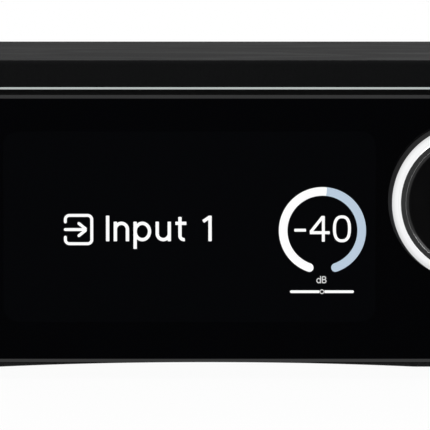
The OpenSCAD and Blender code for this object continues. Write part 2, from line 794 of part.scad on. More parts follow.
// Small screws that hold the display bracket and all the boards
module board_screws() color([0.7, 0.7, 0.72]) {
    for (p = bracket_screws) small_screw(p, y_bracket + bracket_t);
    for (p = concat(cb_screws, sb_screws)) small_screw(p, y_cb + board_t);
    for (p = concat(sup_pillars, main_pillars)) translate([p[0], p[1], z_top_board])
        rotate([90, 0, 0]) small_screw([0, 0], 0);
}
module small_screw(at, y) {
    rod(at, y, y + small_head[1], small_head[0]);
    rod(at, y - small_screw_l, y + small_head[1] / 2, pilot_r - thread);
}

module control_board() color([0.05, 0.22, 0.12]) difference() {
    box([cb_x0, y_cb, cb_z0], [cb_x1, y_cb + board_t, cb_z1]);
    box([jack_at[0] - jack_w / 2 - fit, y_cb - eps, cb_z0 - eps],
        [jack_at[0] + jack_w / 2 + fit, y_cb + board_t + eps, jack_at[1] + jack_h / 2 + fit]);
    for (p = cb_screws) rod(p, y_cb - eps, y_cb + board_t + eps, pilot_r + loose);
}

// Rotary control

// Hollow knob: tapered side wall, flat front wall that carries the rim and the face, and a hub on the shaft
module knob_body() color([0.06, 0.06, 0.065]) difference() {
    turned_front(knob_at, y_f) polygon([
        [0, knob_gap - hub_reach], [hub_r, knob_gap - hub_reach], [hub_r, seat_d - knob_front_t],
        [knob_r - knob_wall, seat_d - knob_front_t], [knob_r - knob_wall, knob_gap],
        [knob_r + knob_taper - knob_ease, knob_gap], [knob_r + knob_taper, knob_gap + knob_ease],
        [knob_r, seat_d], [0, seat_d]]);
    rod(knob_at, y_f - seat_d + bore_skin, y_f + eps, shaft_r + run);
    translate([knob_at[0], y_f - grub_d, knob_at[1]]) rotate([180, 0, 0]) {
        cylinder(r = grub_r + thread, h = hub_r + eps);
        translate([0, 0, hub_r]) cylinder(r = grub_r + loose, h = knob_r);
    }
}
// Bright turned ring: a wide outer chamfer, a flat annulus one step lower and a slope down to the face
module knob_rim() color([0.85, 0.86, 0.87]) turned_front(knob_at, y_f) polygon([
    [face_r, seat_d], [knob_r, seat_d], [knob_r, seat_d + rim_land], [knob_r - rim_w, knob_proud],
    [knob_r - rim_w, knob_proud - rim_step], [face_r + slope_w, knob_proud - rim_step],
    [face_r, knob_proud - rim_step - slope_d]]);

// Black disc with a shallow dish inside the ring
function dish(r) = knob_proud - rim_step - slope_d - face_sink - dish_d * (1 - pow(r / face_r, 2));
module knob_face() color([0.02, 0.02, 0.02]) turned_front(knob_at, y_f) polygon(concat(
    [[0, seat_d], [face_r - run, seat_d]],
    [for (i = [dish_n:-1:0]) [(face_r - run) * i / dish_n, dish((face_r - run) * i / dish_n)]]));

module knob_grub_screw() color([0.3, 0.3, 0.3])
    translate([knob_at[0], y_f - grub_d, knob_at[1]]) rotate([180, 0, 0])
    translate([0, 0, flat_at + run]) cylinder(r = grub_r, h = hub_r - flat_at - run);

// Shaft with a flat for the grub screw and a collar that holds it in the housing
module encoder_shaft() color([0.65, 0.65, 0.66]) difference() {
    union() {
        rod(knob_at, y_f - seat_d + shaft_in, y_p + push_y - meet, shaft_r);
        rod(knob_at, y_p + cavity_y0 + meet, y_p + cavity_y0 + meet + collar_t, collar_r);
    }
    box([knob_at[0] - shaft_r, y_f - seat_d, knob_at[1] - shaft_r - eps],
        [knob_at[0] + shaft_r, y_f - knob_gap, knob_at[1] - flat_at]);
}

module encoder_push_plate() color([0.85, 0.85, 0.8])
    translate([knob_at[0], y_p + push_y + push_t / 2, knob_at[1]])
    cube([cavity_w - 2 * fit, push_t, cavity_w - 2 * fit], center = true);

// Housing with a threaded bush, a square cavity for the push plate and a contact behind the plate
module encoder_housing() color([0.1, 0.1, 0.1]) {
    difference() {
        union() {
            box([knob_at[0] - enc_w / 2, y_p, knob_at[1] - enc_w / 2],
                [knob_at[0] + enc_w / 2, y_cb, knob_at[1] + enc_w / 2]);
            rod(knob_at, y_f + bush_sink, y_p + bush_root, bush_r);
        }
        rod(knob_at, y_f - eps, y_p + cavity_y0 + bush_root, shaft_r + run);
        box([knob_at[0] - cavity_w / 2, y_p + cavity_y0, knob_at[1] - cavity_w / 2],
            [knob_at[0] + cavity_w / 2, y_p + cavity_y1, knob_at[1] + cavity_w / 2]);
    }
    rod(knob_at, y_p + push_y + push_t + knob_press + meet, y_cb, contact_r);
}

module encoder_nut() color([0.75, 0.75, 0.76]) difference() {
    hex(knob_at, y_g - nut_t, y_g, nut_r);
    rod(knob_at, y_g - nut_t - eps, y_g + eps, bush_r + thread);
}

// Standby button and receiver

module standby_button() color([0.05, 0.05, 0.05]) turned_back(button_at, y_f) polygon([
    [0, -button_proud], [button_r - button_ease, -button_proud], [button_r, button_ease - button_proud],
    [button_r, button_back], [button_r + button_lip[0], button_back],
    [button_r + button_lip[0], button_back + button_lip[1]], [stem_r, button_back + button_lip[1]],
    [stem_r, glass_t + plate_t + stem_l], [0, glass_t + plate_t + stem_l]]);

module standby_board() color([0.05, 0.22, 0.12]) difference() {
    box([button_x - sb_half, y_cb, ir_at[1] - sb_low], [button_x + sb_half, y_cb + board_t, z_fm + sb_high]);
    for (p = sb_screws) rod(p, y_cb - eps, y_cb + board_t + eps, pilot_r + loose);
}

module standby_switch() color([0.2, 0.2, 0.2]) {
    translate([button_x - switch_w / 2, y_p + switch_tip + switch_stem[1], z_fm - switch_w / 2])
        cube([switch_w, enc_d - switch_tip - switch_stem[1], switch_w]);
    rod(button_at, y_p + switch_tip, y_cb, switch_stem[0]);
}

module receiver_window() color([0.12, 0.02, 0.03]) {
    rod(ir_at, y_f + run, y_p + window_lip[1] / 2, ir_r);
    rod(ir_at, y_p, y_p + window_lip[1], ir_r + window_lip[0]);
}

module receiver() color([0.1, 0.1, 0.1]) {
    translate([ir_at[0] - receiver_size[0] / 2, y_cb - receiver_size[1], ir_at[1] - receiver_size[2] / 2])
        cube(receiver_size);
    rod(ir_at, y_cb - receiver_size[1] - receiver_lens[1], y_cb - receiver_size[1], receiver_lens[0]);
}

// Headphone socket: housing, threaded bush and a blind bore for the plug
module headphone_socket() color([0.1, 0.1, 0.1]) difference() {
    union() {
        box([jack_at[0] - jack_w / 2, y_p, jack_at[1] - jack_h / 2],
            [jack_at[0] + jack_w / 2, y_p + jack_d, jack_at[1] + jack_h / 2]);
        rod(jack_at, y_f - jack_proud, y_p + bush_root, jack_bush_r);
    }
    rod(jack_at, y_f - jack_proud - eps, y_p + jack_d - jack_end, jack_r);
}

module headphone_nut() color([0.75, 0.75, 0.76]) difference() {
    turned_front(jack_at, y_f) polygon([[0, 0], [jack_nut_r, 0],
        [jack_nut_r, jack_nut_t - jack_nut_ease], [jack_nut_r - jack_nut_ease, jack_nut_t],
        [0, jack_nut_t]]);
    rod(jack_at, y_f - jack_proud - eps, y_f + eps, jack_bush_r + thread);
}

// Rear terminals

// Insulated base of a loudspeaker post, with a neck through the panel
module post_base(at) difference() {
    turned_back(at, y_r) polygon([[0, meet - rear_t], [neck_r, meet - rear_t], [neck_r, 0], [base_r, 0],
        [base_r, base_t - base_ease], [base_r - base_ease, base_t], [0, base_t]]);
    rod(at, y_ri - eps, y_r + base_t + eps, stud_r + run);
}
module post_bases_red() color([0.6, 0.03, 0.04]) for (i = [0, 2]) post_base(post_at[i]);
module post_bases_black() color([0.04, 0.04, 0.04]) {
    for (i = [1, 3]) post_base(post_at[i]);
    // Insulating pads inside the panel, under the nuts of all four posts
    for (p = post_at) ring(p, y_ri - pad_t, y_ri, stud_r + run, base_r - base_ease);
}

// Threaded studs with a nut inside the panel, a plug hole in the end and a cross hole for bare wire
module post_studs() color([0.8, 0.65, 0.3]) for (p = post_at) difference() {
    union() {
        rod(p, y_ri - stud_tail, y_r + stud_end, stud_r);
        hex(p, y_ri - pad_t - hex_t, y_ri - pad_t, hex_r);
    }
    rod(p, y_r + stud_end - plug_depth, y_r + stud_end + eps, plug_r);
    translate([p[0], y_r + base_t + wire_up + wire_r, p[1]])
        cylinder(r = wire_r, h = 4 * stud_r, center = true);
}

module post_washer(i) color([0.8, 0.65, 0.3])
    ring(post_at[i], y_r + washer_y, y_r + washer_y + washer_t, stud_r + run, cap_r - washer_in);

// Fluted screw cap with a plain collar round the plug hole's mouth
module post_cap(i) difference() {
    turned_back(post_at[i], y_r) polygon([[0, cap_y], [cap_r - cap_ease, cap_y], [cap_r, cap_y + cap_ease],
        [cap_r, post_proud - collar_h - cap_ease], [cap_r - cap_ease, post_proud - collar_h],
        [collar_r_cap, post_proud - collar_h], [collar_r_cap, post_proud - cap_ease],
        [collar_r_cap - cap_ease, post_proud], [0, post_proud]]);
    along_y(y_r + cap_y - eps, y_r + post_proud - collar_h) translate(post_at[i])
        for (k = [0:flute_n - 1]) rotate(360 * k / flute_n)
            translate([cap_r + flute_out, 0]) circle(flute_r);
    rod(post_at[i], y_r, y_r + post_proud + eps, stud_r + run);
    rod(post_at[i], y_r + stud_end + mouth_gap, y_r + post_proud + eps, mouth_r);
}
module post_washer_1() post_washer(0);
module post_washer_2() post_washer(1);
module post_washer_3() post_washer(2);
module post_washer_4() post_washer(3);
module post_cap_1() color([0.6, 0.03, 0.04]) post_cap(0);
module post_cap_2() color([0.04, 0.04, 0.04]) post_cap(1);
module post_cap_3() color([0.6, 0.03, 0.04]) post_cap(2);
module post_cap_4() color([0.04, 0.04, 0.04]) post_cap(3);

// Earth post: a stud with a nut on each side of the panel, a washer and a knurled thumb nut
module earth_post() color([0.8, 0.65, 0.3]) {
    rod(earth_at, y_ri - earth_tail, y_r + earth_cap_y + earth_cap_h + earth_tip, earth_r);
    hex(earth_at, y_r, y_r + earth_hex_t, earth_hex_r);
    hex(earth_at, y_ri - earth_hex_t, y_ri, earth_hex_r);
}
module earth_washer() color([0.8, 0.65, 0.3])
    ring(earth_at, y_r + earth_cap_y - earth_washer_t - meet, y_r + earth_cap_y - meet,
        earth_r + run, earth_cap_r - earth_washer_in);
module earth_thumb_nut() color([0.8, 0.65, 0.3]) difference() {
    along_y(y_r + earth_cap_y, y_r + earth_cap_y + earth_cap_h) translate(earth_at) difference() {
        circle(earth_cap_r);
        for (k = [0:groove_n - 1]) rotate(360 * k / groove_n) translate([earth_cap_r + groove_out, 0])
            circle(groove_r);
    }
    rod(earth_at, y_r, y_r + earth_cap_y + earth_cap_h + eps, earth_r + run);
}

// Line sockets: plated shells, coloured inserts with a hole for the plug's pin, and moulded blocks
module line_shells() color([0.8, 0.65, 0.3]) for (p = line_at) {
    ring(p, y_ri - shell_in, y_r + shell_proud, shell_r - shell_wall, shell_r);
    ring(p, y_r, y_r + shell_flange_t, shell_r - shell_wall, shell_flange_r);
}
module line_insert(p) difference() {
    rod(p, y_ri - shell_in, y_r + insert_end, shell_r - shell_wall - run);
    rod(p, y_r + insert_end - pin_depth, y_r + insert_end + eps, pin_r);
}
module line_inserts_white() color([0.9, 0.9, 0.88]) for (p = line_at) if (p[2] == 1) line_insert(p);
module line_inserts_red() color([0.65, 0.04, 0.05]) for (p = line_at) if (p[2] == 0) line_insert(p);
module line_blocks() color([0.05, 0.05, 0.05]) difference() {
    for (i = [0:line_n - 1])
        box([line_x + i * line_pitch_x - block_w / 2, y_ri - block_d, line_z - block_w / 2],
            [line_x + i * line_pitch_x + block_w / 2, y_ri, line_z + line_pitch_z + block_w / 2]);
    for (p = line_at) rod(p, y_ri - shell_in - meet, y_ri + eps, shell_r + run);
}
module input_board() color([0.05, 0.22, 0.12])
    box([line_x - input_edge[0], y_ri - block_d - board_t, line_z - input_edge[1]],
        [earth_at[0] + input_edge[2], y_ri - block_d, line_z + line_pitch_z + input_edge[3]]);

// Mains inlet: a flanged housing with a bevelled cavity, and three flat pins through its floor
module inlet_outline() {
    w = inlet_cavity[0] / 2;
    h = inlet_cavity[1] / 2;
    polygon([[-w, -h], [w, -h], [w, h - inlet_bevel], [w - inlet_bevel, h],
        [inlet_bevel - w, h], [-w, h - inlet_bevel]]);
}
module mains_inlet() color([0.04, 0.04, 0.04]) difference() {
    union() {
        along_y(y_r, y_r + inlet_t) translate(inlet_at) soft_rect(inlet_flange, inlet_corner);
        along_y(y_r - inlet_back, y_r + inlet_t / 2) translate(inlet_at) square(inlet_body, center = true);
    }
    along_y(y_r + inlet_t - inlet_depth, y_r + inlet_t + eps) translate(inlet_at) inlet_outline();
    for (p = inlet_pins) along_y(y_r - inlet_back - eps, y_r) translate(inlet_at + p)
        square(inlet_pin + [run, run] * 2, center = true);
}
module mains_pins() color([0.75, 0.75, 0.76]) for (p = inlet_pins)
    along_y(y_r - inlet_back - inlet_tail, y_r + inlet_t - inlet_tip)
        translate(inlet_at + p) square(inlet_pin, center = true);

// Mains rocker: a housing with pivot holes and a rocker tilted to its rest side
module rocker_housing() color([0.05, 0.05, 0.05]) difference() {
    union() {
        along_y(y_r, y_r + bezel_t) translate(rocker_at) soft_rect(bezel, bezel_corner);
        along_y(y_r - rocker_back, y_r + bezel_t / 2) translate(rocker_at)
            square(rocker_body, center = true);
    }
    along_y(y_r - rocker_back + rocker_floor, y_r + bezel_t + eps)
        translate(rocker_at) square(rocker_hole, center = true);
    translate([rocker_at[0], pivot_y, rocker_at[1]]) rotate([0, 90, 0])
        cylinder(r = pivot_r + run, h = rocker_w + 2 * (pivot_out + meet), center = true);
}
module rocker() color([0.03, 0.03, 0.03]) translate([rocker_at[0], pivot_y, rocker_at[1]])
    rotate([-rocker_tilt, 0, 0]) {
    along_x(-rocker_w / 2, rocker_w / 2) polygon([[rocker_end, -rocker_half], [rocker_dip, 0],
        [rocker_end, rocker_half], [rocker_edge, rocker_half], rocker_keel,
        [rocker_keel[0], -rocker_keel[1]],
        [rocker_edge, -rocker_half]]);
    rotate([0, 90, 0]) cylinder(r = pivot_r, h = rocker_w + 2 * pivot_out, center = true);
}

// Inside

module transformer() color([0.75, 0.6, 0.15])
    translate([toroid_x, toroid_y, z_toroid + toroid_h / 2]) rotate_extrude()
    translate([(toroid_r + toroid_bore) / 2, 0]) soft_rect([toroid_r - toroid_bore, toroid_h], toroid_round);

// Rubber pad under the transformer, clamp plate on top, and the bolt with its nut
module transformer_mount() color([0.25, 0.25, 0.26]) {
    difference() {
        post([toroid_x, toroid_y], z_floor, z_toroid, toroid_r - toroid_round);
        post([toroid_x, toroid_y], z_floor - eps, z_toroid + eps, bolt_r + loose);
    }
    difference() {
        post([toroid_x, toroid_y], z_toroid + toroid_h, z_toroid + toroid_h + clamp_t, clamp_r);
        post([toroid_x, toroid_y], z_toroid, z_toroid + toroid_h + clamp_t + eps, bolt_r + loose);
    }
    post([toroid_x, toroid_y], foot_h - bolt_head[1], z_toroid + toroid_h + clamp_t + bolt_out, bolt_r);
    post([toroid_x, toroid_y], foot_h - bolt_head[1], foot_h, bolt_head[0]);
    translate([toroid_x, toroid_y, z_toroid + toroid_h + clamp_t])
        cylinder(r = bolt_nut[0], h = bolt_nut[1], $fn = 6);
}

// Supply board and main board on pillars
module amplifier_boards() color([0.05, 0.22, 0.12]) difference() {
    union() {
        box([sup_x0, sup_y0, z_board], [sup_x1, sup_y1, z_top_board]);
        box([-main_hw, main_y0, z_board], [main_hw, main_y1, z_top_board]);
        for (p = concat(sup_pillars, main_pillars)) post(p, z_floor, z_board + eps, pillar_r);
    }
    for (p = concat(sup_pillars, main_pillars)) post(p, z_board - small_screw_l, z_top_board + eps, pilot_r);
}

// Comb of fins in front of a thick base, standing on the main board
module heat_sink() color([0.15, 0.15, 0.16]) translate([0, 0, z_top_board]) linear_extrude(sink_h) {
    translate([-sink_hw, sink_y0 + sink_d - sink_base]) square([2 * sink_hw, sink_base]);
    for (i = [0:fin_n - 1]) translate([-sink_hw + i * (2 * sink_hw - fin_t) / (fin_n - 1), sink_y0])
        square([fin_t, sink_d - sink_base + eps]);
}

// Cans with a rolled groove near the foot and round top edges
module reservoir_capacitors() color([0.08, 0.1, 0.2]) for (p = can_at) translate([p[0], p[1], z_top_board])
    rotate_extrude() {
        polygon([[0, 0], [can_r, 0], [can_r, can_groove[1]],
            [can_r - can_groove[0], can_groove[1] + can_groove[0]],
            [can_r - can_groove[0], can_groove[2]], [can_r, can_groove[2] + can_groove[0]],
            [can_r, can_h - can_ease], [can_r - can_ease, can_h], [0, can_h]]);
    }

// Rectifier, output transistors on the heat sink, and loudspeaker relays
module power_parts() color([0.06, 0.06, 0.06]) {
    translate([(sup_x0 + sup_x1 - bridge[0]) / 2, sup_y0 + bridge_edge, z_top_board]) cube(bridge);
    for (i = [-1.5:1:1.5])
        translate([i * transistor_pitch - transistor[0] / 2, sink_y0 + sink_d, z_top_board]) {
            translate([0, 0, transistor_z]) cube(transistor);
            for (k = [0:2]) translate([lead_in + lead_pitch * k, lead_in, 0])
                cube([lead[0], lead[1], transistor_z + eps]);
        }
    for (sx = [-1, 1]) translate([sx * relay_x - relay[0] / 2, main_y1 - relay[1] - relay_edge, z_top_board])
        cube(relay);
}

// Side view of the flat cable: straight runs joined by quarter bends
module strip(y0, z0, y1, z1) translate([y0 - (y0 == y1 ? rib_t / 2 : 0), z0 - (z0 == z1 ? rib_t / 2 : 0)])
    square([max(y1 - y0, rib_t), max(z1 - z0, rib_t)]);
module bend(y, z, turn) translate([y, z]) rotate(turn) intersection() {
    difference() {
        circle(rib_bend + rib_t / 2);
        circle(rib_bend - rib_t / 2);
    }
    square(2 * rib_bend);
}
module ribbon_path() {
    strip(rib_y[0], rib_z[0], rib_y[1] - rib_bend, rib_z[0]);
    bend(rib_y[1] - rib_bend, rib_z[0] - rib_bend, 0);
    strip(rib_y[1], rib_z[1] + rib_bend, rib_y[1], rib_z[0] - rib_bend);
    bend(rib_y[1] + rib_bend, rib_z[1] + rib_bend, 180);
    strip(rib_y[1] + rib_bend, rib_z[1], rib_y[2] - rib_bend, rib_z[1]);
    bend(rib_y[2] - rib_bend, rib_z[1] + rib_bend, 270);
    strip(rib_y[2], rib_z[1] + rib_bend, rib_y[2], rib_z[2] - rib_bend);
    bend(rib_y[2] + rib_bend, rib_z[2] - rib_bend, 90);
    strip(rib_y[2] + rib_bend, rib_z[2], rib_y[3], rib_z[2]);
}

// Flat cable from the control board along the floor to the main board, with a plug at each end
module ribbon_cable() color([0.6, 0.6, 0.62]) {
    along_x(rib_x, rib_x + rib_w) ribbon_path();
    box([rib_x - rib_plug_side, y_cb + board_t, rib_z[0] - rib_plug / 2],
        [rib_x + rib_w + rib_plug_side, rib_y[0], rib_z[0] + rib_plug / 2]);
    box([rib_x - rib_plug_side, rib_y[3], z_top_board],
        [rib_x + rib_w + rib_plug_side, rib_y[3] + rib_plug, z_top_board + rib_plug]);
}

hood();
trim_strip();
fascia_glass();
front_skirt();
fascia_frame();
base_tray();
rear_panel();
feet();
foot_screws();
hood_screws();
rear_screws();
display_module();
display_bracket();
board_screws();
knob_body();
knob_rim();
knob_face();
knob_grub_screw();
encoder_shaft();
encoder_push_plate();
encoder_housing();
encoder_nut();
control_board();
standby_button();
standby_board();
standby_switch();
receiver_window();
receiver();
headphone_socket();
headphone_nut();
post_bases_red();
post_bases_black();
post_studs();
post_washer_1();
post_washer_2();
post_washer_3();
post_washer_4();
post_cap_1();
post_cap_2();
post_cap_3();
post_cap_4();
earth_post();
earth_washer();
earth_thumb_nut();
line_shells();
line_inserts_white();
line_inserts_red();
line_blocks();
input_board();
mains_inlet();
mains_pins();
rocker_housing();
rocker();
transformer();
transformer_mount();
amplifier_boards();
heat_sink();
reservoir_capacitors();
power_parts();
ribbon_cable();
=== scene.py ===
import json
import math

import bmesh
import bpy
import numpy as np
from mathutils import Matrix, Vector


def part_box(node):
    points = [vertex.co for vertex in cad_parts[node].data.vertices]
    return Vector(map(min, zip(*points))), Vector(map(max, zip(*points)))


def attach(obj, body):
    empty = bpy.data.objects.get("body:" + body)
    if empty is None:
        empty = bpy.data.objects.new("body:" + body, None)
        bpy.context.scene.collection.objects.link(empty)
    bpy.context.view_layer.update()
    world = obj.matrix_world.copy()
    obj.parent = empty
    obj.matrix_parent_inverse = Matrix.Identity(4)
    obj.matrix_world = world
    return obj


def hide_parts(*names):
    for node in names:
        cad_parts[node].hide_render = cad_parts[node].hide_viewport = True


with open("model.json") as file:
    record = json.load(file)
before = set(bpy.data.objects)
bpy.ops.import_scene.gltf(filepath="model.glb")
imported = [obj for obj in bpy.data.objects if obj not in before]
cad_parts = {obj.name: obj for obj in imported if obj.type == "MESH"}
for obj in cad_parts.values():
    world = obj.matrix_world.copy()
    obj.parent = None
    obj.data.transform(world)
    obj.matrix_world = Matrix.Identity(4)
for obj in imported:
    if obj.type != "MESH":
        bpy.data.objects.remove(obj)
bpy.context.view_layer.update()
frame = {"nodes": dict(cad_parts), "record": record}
mm = 0.001
bpy.context.scene.view_settings.view_transform = "Standard"
print("frame loaded:", len(frame["nodes"]), "nodes")


def span(node):                       # lowest and highest corner of a CAD node, as arrays in metres
    low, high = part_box(node)
    return np.array(low), np.array(high)


def middle(node):
    low, high = span(node)
    return (low + high) / 2


def sized(look):                      # lengths of a dictionary, from millimetres to metres
    return {key: np.multiply(value, mm) for key, value in look.items()}


glassLow, glassHigh = span("fascia_glass")
faceY = glassLow[1]                   # front face of the glass
rearY = span("rear_panel")[1][1]      # outer face of the rear panel


# Camera and lamps

view = {"eyeX": 2.24, "eyeZ": 102.66, "distance": 900.0, "tiltDown": 3.7276, "lens": 284.9, "sensor": 36.0,
        "clip": (0.02, 30.0)}


def aimCamera():
    data = bpy.data.cameras.new("photoCamera")
    data.sensor_width, data.lens = view["sensor"], view["lens"]
    data.clip_start, data.clip_end = view["clip"]
    camera = bpy.data.objects.new("photoCamera", data)
    camera.location = (view["eyeX"] * mm, faceY - view["distance"] * mm, view["eyeZ"] * mm)
    camera.rotation_euler = (math.radians(90 - view["tiltDown"]), 0, 0)
    bpy.context.collection.objects.link(camera)
    bpy.context.scene.camera = camera


lampSet = {                           # place and size in metres, power in watts
    "keyLamp": {"place": (-0.6, -1.3, 0.95), "size": 0.9, "power": 6.5},
    "fillLamp": {"place": (0.95, -0.55, 0.85), "size": 0.8, "power": 5.0},
    "backLamp": {"place": (0.7, 0.95, 1.0), "size": 0.9, "power": 7.5},
}
lampAim = Vector((0.0, -0.05, 0.04))


def hangLamps():
    for name, lamp in lampSet.items():
        data = bpy.data.lights.new(name, "AREA")
        data.size, data.energy = lamp["size"], lamp["power"]
        item = bpy.data.objects.new(name, data)
        item.location = lamp["place"]
        item.rotation_euler = (lampAim - item.location).to_track_quat("-Z", "Y").to_euler()
        item.visible_camera = False
        bpy.context.collection.objects.link(item)


# Node tools: addNode makes a node and sets or links its sockets, the others give an output socket

def addNode(tree, kind, sockets={}, **settings):
    made = tree.nodes.new(kind)
    for key, value in settings.items():
        setattr(made, key, value)
    for key, value in sockets.items():
        if isinstance(value, bpy.types.NodeSocket):
            tree.links.new(value, made.inputs[key])
        else:
            made.inputs[key].default_value = value
    return made


def maths(tree, operation, *values):
    return addNode(tree, "ShaderNodeMath", dict(enumerate(values)), operation=operation).outputs[0]


def vectorMaths(tree, operation, *values):
    made = addNode(tree, "ShaderNodeVectorMath", dict(enumerate(values)), operation=operation)
    return made.outputs["Value" if operation == "LENGTH" else "Vector"]


def mapped(tree, value, low, high, start=0.0, end=1.0, kind="LINEAR"):
    return addNode(tree, "ShaderNodeMapRange", {
        "Value": value, "From Min": low, "From Max": high, "To Min": start, "To Max": end},
        interpolation_type=kind).outputs["Result"]


def mixColour(tree, factor, first, second):
    return addNode(tree, "ShaderNodeMix", {0: factor, 6: first, 7: second}, data_type="RGBA").outputs[2]


def split(tree, vector):              # its X, Y and Z
    return addNode(tree, "ShaderNodeSeparateXYZ", {0: vector}).outputs


def newMaterial(name):
    material = bpy.data.materials.new(name)
    material.use_nodes = True
    return material, material.node_tree, material.node_tree.nodes["Principled BSDF"]


# Room

room = {"ambient": 0.42, "dark": 0.036, "darkFrom": -0.45, "darkTo": -0.8,
        "side": 0.78, "sideFrom": -0.22, "sideTo": 0.06}


# white room: camera and glass rays see white, and so does a mirror, but it also sees that the room is a
# little less bright from its sides to its back, and unlit behind the camera, where the ray's y is under
# darkTo
def paintRoom():
    world = bpy.data.worlds.new("whiteRoom")
    bpy.context.scene.world = world
    world.use_nodes = True
    tree = world.node_tree
    tree.nodes.clear()
    ray = split(tree, addNode(tree, "ShaderNodeTexCoord").outputs["Generated"])["Y"]
    dark = mapped(tree, ray, room["darkFrom"], room["darkTo"], 1.0, room["dark"], "SMOOTHSTEP")
    side = mapped(tree, ray, room["sideFrom"], room["sideTo"], 1.0, room["side"], "SMOOTHSTEP")
    path = addNode(tree, "ShaderNodeLightPath").outputs
    seen = maths(tree, "MAXIMUM", path["Is Camera Ray"], path["Is Transmission Ray"])
    mirror = addNode(tree, "ShaderNodeMix", {
        "Factor": path["Is Glossy Ray"], "A": room["ambient"], "B": maths(tree, "MINIMUM", dark, side)})
    glow = addNode(tree, "ShaderNodeMix", {"Factor": seen, "A": mirror.outputs["Result"], "B": 1.0})
    shade = addNode(tree, "ShaderNodeBackground", {
        "Color": (1, 1, 1, 1), "Strength": glow.outputs["Result"]})
    addNode(tree, "ShaderNodeOutputWorld", {"Surface": shade.outputs[0]})


# Mesh tools

# quads of a grid of rows x cols points, joined round the columns or the rows where asked
def gridQuads(rows, cols, roundCols=False, roundRows=False):
    i = np.arange(rows if roundRows else rows - 1)[:, None]
    j = np.arange(cols if roundCols else cols - 1)[None, :]
    i2, j2 = (i + 1) % rows, (j + 1) % cols
    quads = np.stack([i * cols + j, i * cols + j2, i2 * cols + j2, i2 * cols + j], axis=-1)
    return quads.reshape(-1, 4)


def joined(surfaces):                 # several (points, quads) surfaces as one
    starts = np.cumsum([0] + [len(points) for points, quads in surfaces[:-1]])
    return (np.concatenate([points for points, quads in surfaces]),
            np.concatenate([surface[1] + start for surface, start in zip(surfaces, starts)]))


# a profile with eased corners: a corner (radius, height, ease) becomes the quadratic curve that leaves
# the outline at distance ease before the corner and meets it again at distance ease after it
def eased(corners, steps=6):
    table = np.array(corners, float)
    here, ease = table[:, :2], table[:, 2:]
    back, ahead = np.roll(here, 1, 0) - here, np.roll(here, -1, 0) - here
    back = back / np.maximum(np.linalg.norm(back, axis=1, keepdims=True), 1e-9)
    ahead = ahead / np.maximum(np.linalg.norm(ahead, axis=1, keepdims=True), 1e-9)
    u = np.linspace(0, 1, steps)[None, :, None]
    first, last = (here + ease * back)[:, None], (here + ease * ahead)[:, None]
    curve = (1 - u) ** 2 * first + 2 * u * (1 - u) * here[:, None] + u ** 2 * last
    return curve.reshape(-1, 2)


# a profile turned about an axis: point = origin + along * height + reach * (u cos t + v sin t), where the
# reach is the radius, or what the section gives for each row and angle where it isn't round
def turned(profile, origin, along, roundRows=True, count=120, section=None):
    radius, height = np.asarray(profile, float).T[:, :, None]
    angle = np.linspace(0, 2 * np.pi, count, endpoint=False)
    along = np.array(along, float)
    u = np.cross(along, (0, 0, 1.0)) if abs(along[2]) < 0.9 else np.array((1.0, 0, 0))
    v = np.cross(along, u)
    spoke = np.cos(angle)[:, None] * u + np.sin(angle)[:, None] * v
    reach = section(radius, height, angle) if section else radius * np.ones(count)
    points = np.array(origin) + height[:, :, None] * along + reach[:, :, None] * spoke
    return points.reshape(-1, 3), gridQuads(len(radius), count, True, roundRows)


# a piece from a surface: doubles merged, normals turned outwards, edges over the crease angle kept sharp;
# its finish is its slot's, unless a material is given
def makePiece(name, surface, slotName, body="case", stands=(), crease=32, material=None):
    points, quads = surface
    mesh = bpy.data.meshes.new(name)
    mesh.vertices.add(len(points))
    mesh.vertices.foreach_set("co", np.ascontiguousarray(points, dtype=np.float32).ravel())
    mesh.loops.add(quads.size)
    mesh.loops.foreach_set("vertex_index", quads.astype(np.int32).ravel())
    mesh.polygons.add(len(quads))
    mesh.polygons.foreach_set("loop_start", np.arange(0, quads.size, 4, dtype=np.int32))
    mesh.update(calc_edges=True)
    shell = bmesh.new()
    shell.from_mesh(mesh)
    bmesh.ops.remove_doubles(shell, verts=shell.verts, dist=1e-6)
    bmesh.ops.dissolve_degenerate(shell, edges=shell.edges, dist=1e-7)
    bmesh.ops.recalc_face_normals(shell, faces=shell.faces)
    shell.to_mesh(mesh)
    shell.free()
    mesh.polygons.foreach_set("use_smooth", np.ones(len(mesh.polygons), dtype=bool))
    mesh.set_sharp_from_angle(angle=math.radians(crease))
    mesh.materials.append(material or materials[slotName])
    piece = bpy.data.objects.new(name, mesh)
    bpy.context.collection.objects.link(piece)
    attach(piece, body)
    if stands:
        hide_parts(*stands)


# Shared shader groups: patterns give a Tone from 0 to 1 and a Height, masks give a Mask

def newGroup(name, inputs, outputs=("Tone", "Height")):
    tree = bpy.data.node_groups.new(name, "ShaderNodeTree")
    for label, value in inputs.items():
        kind = "NodeSocketVector" if isinstance(value, tuple) else "NodeSocketFloat"
        tree.interface.new_socket(label, in_out="INPUT", socket_type=kind).default_value = value
    for label in outputs:
        tree.interface.new_socket(label, in_out="OUTPUT", socket_type="NodeSocketFloat")
    place = addNode(tree, "ShaderNodeTexCoord").outputs["Object"]
    return tree, addNode(tree, "NodeGroupInput").outputs, place


def giveOut(tree, **sockets):
    addNode(tree, "NodeGroupOutput", sockets)
    return tree


def noiseOf(tree, vector, scale, **sockets):
    return addNode(tree, "ShaderNodeTexNoise", {"Vector": vector, "Scale": scale, **sockets}).outputs["Fac"]


def powderGrain():                    # fine round bumps of a powder coat or a moulded skin
    tree, given, place = newGroup("powderGrain", {"Scale": 2000.0})
    noise = noiseOf(tree, place, given["Scale"], Detail=3.0, Roughness=0.55)
    cells = addNode(tree, "ShaderNodeTexVoronoi", {"Vector": place, "Scale": given["Scale"]},
                    feature="SMOOTH_F1")
    height = maths(tree, "SUBTRACT", noise, cells.outputs["Distance"])
    return giveOut(tree, Tone=mapped(tree, noise, 0.32, 0.68), Height=height)


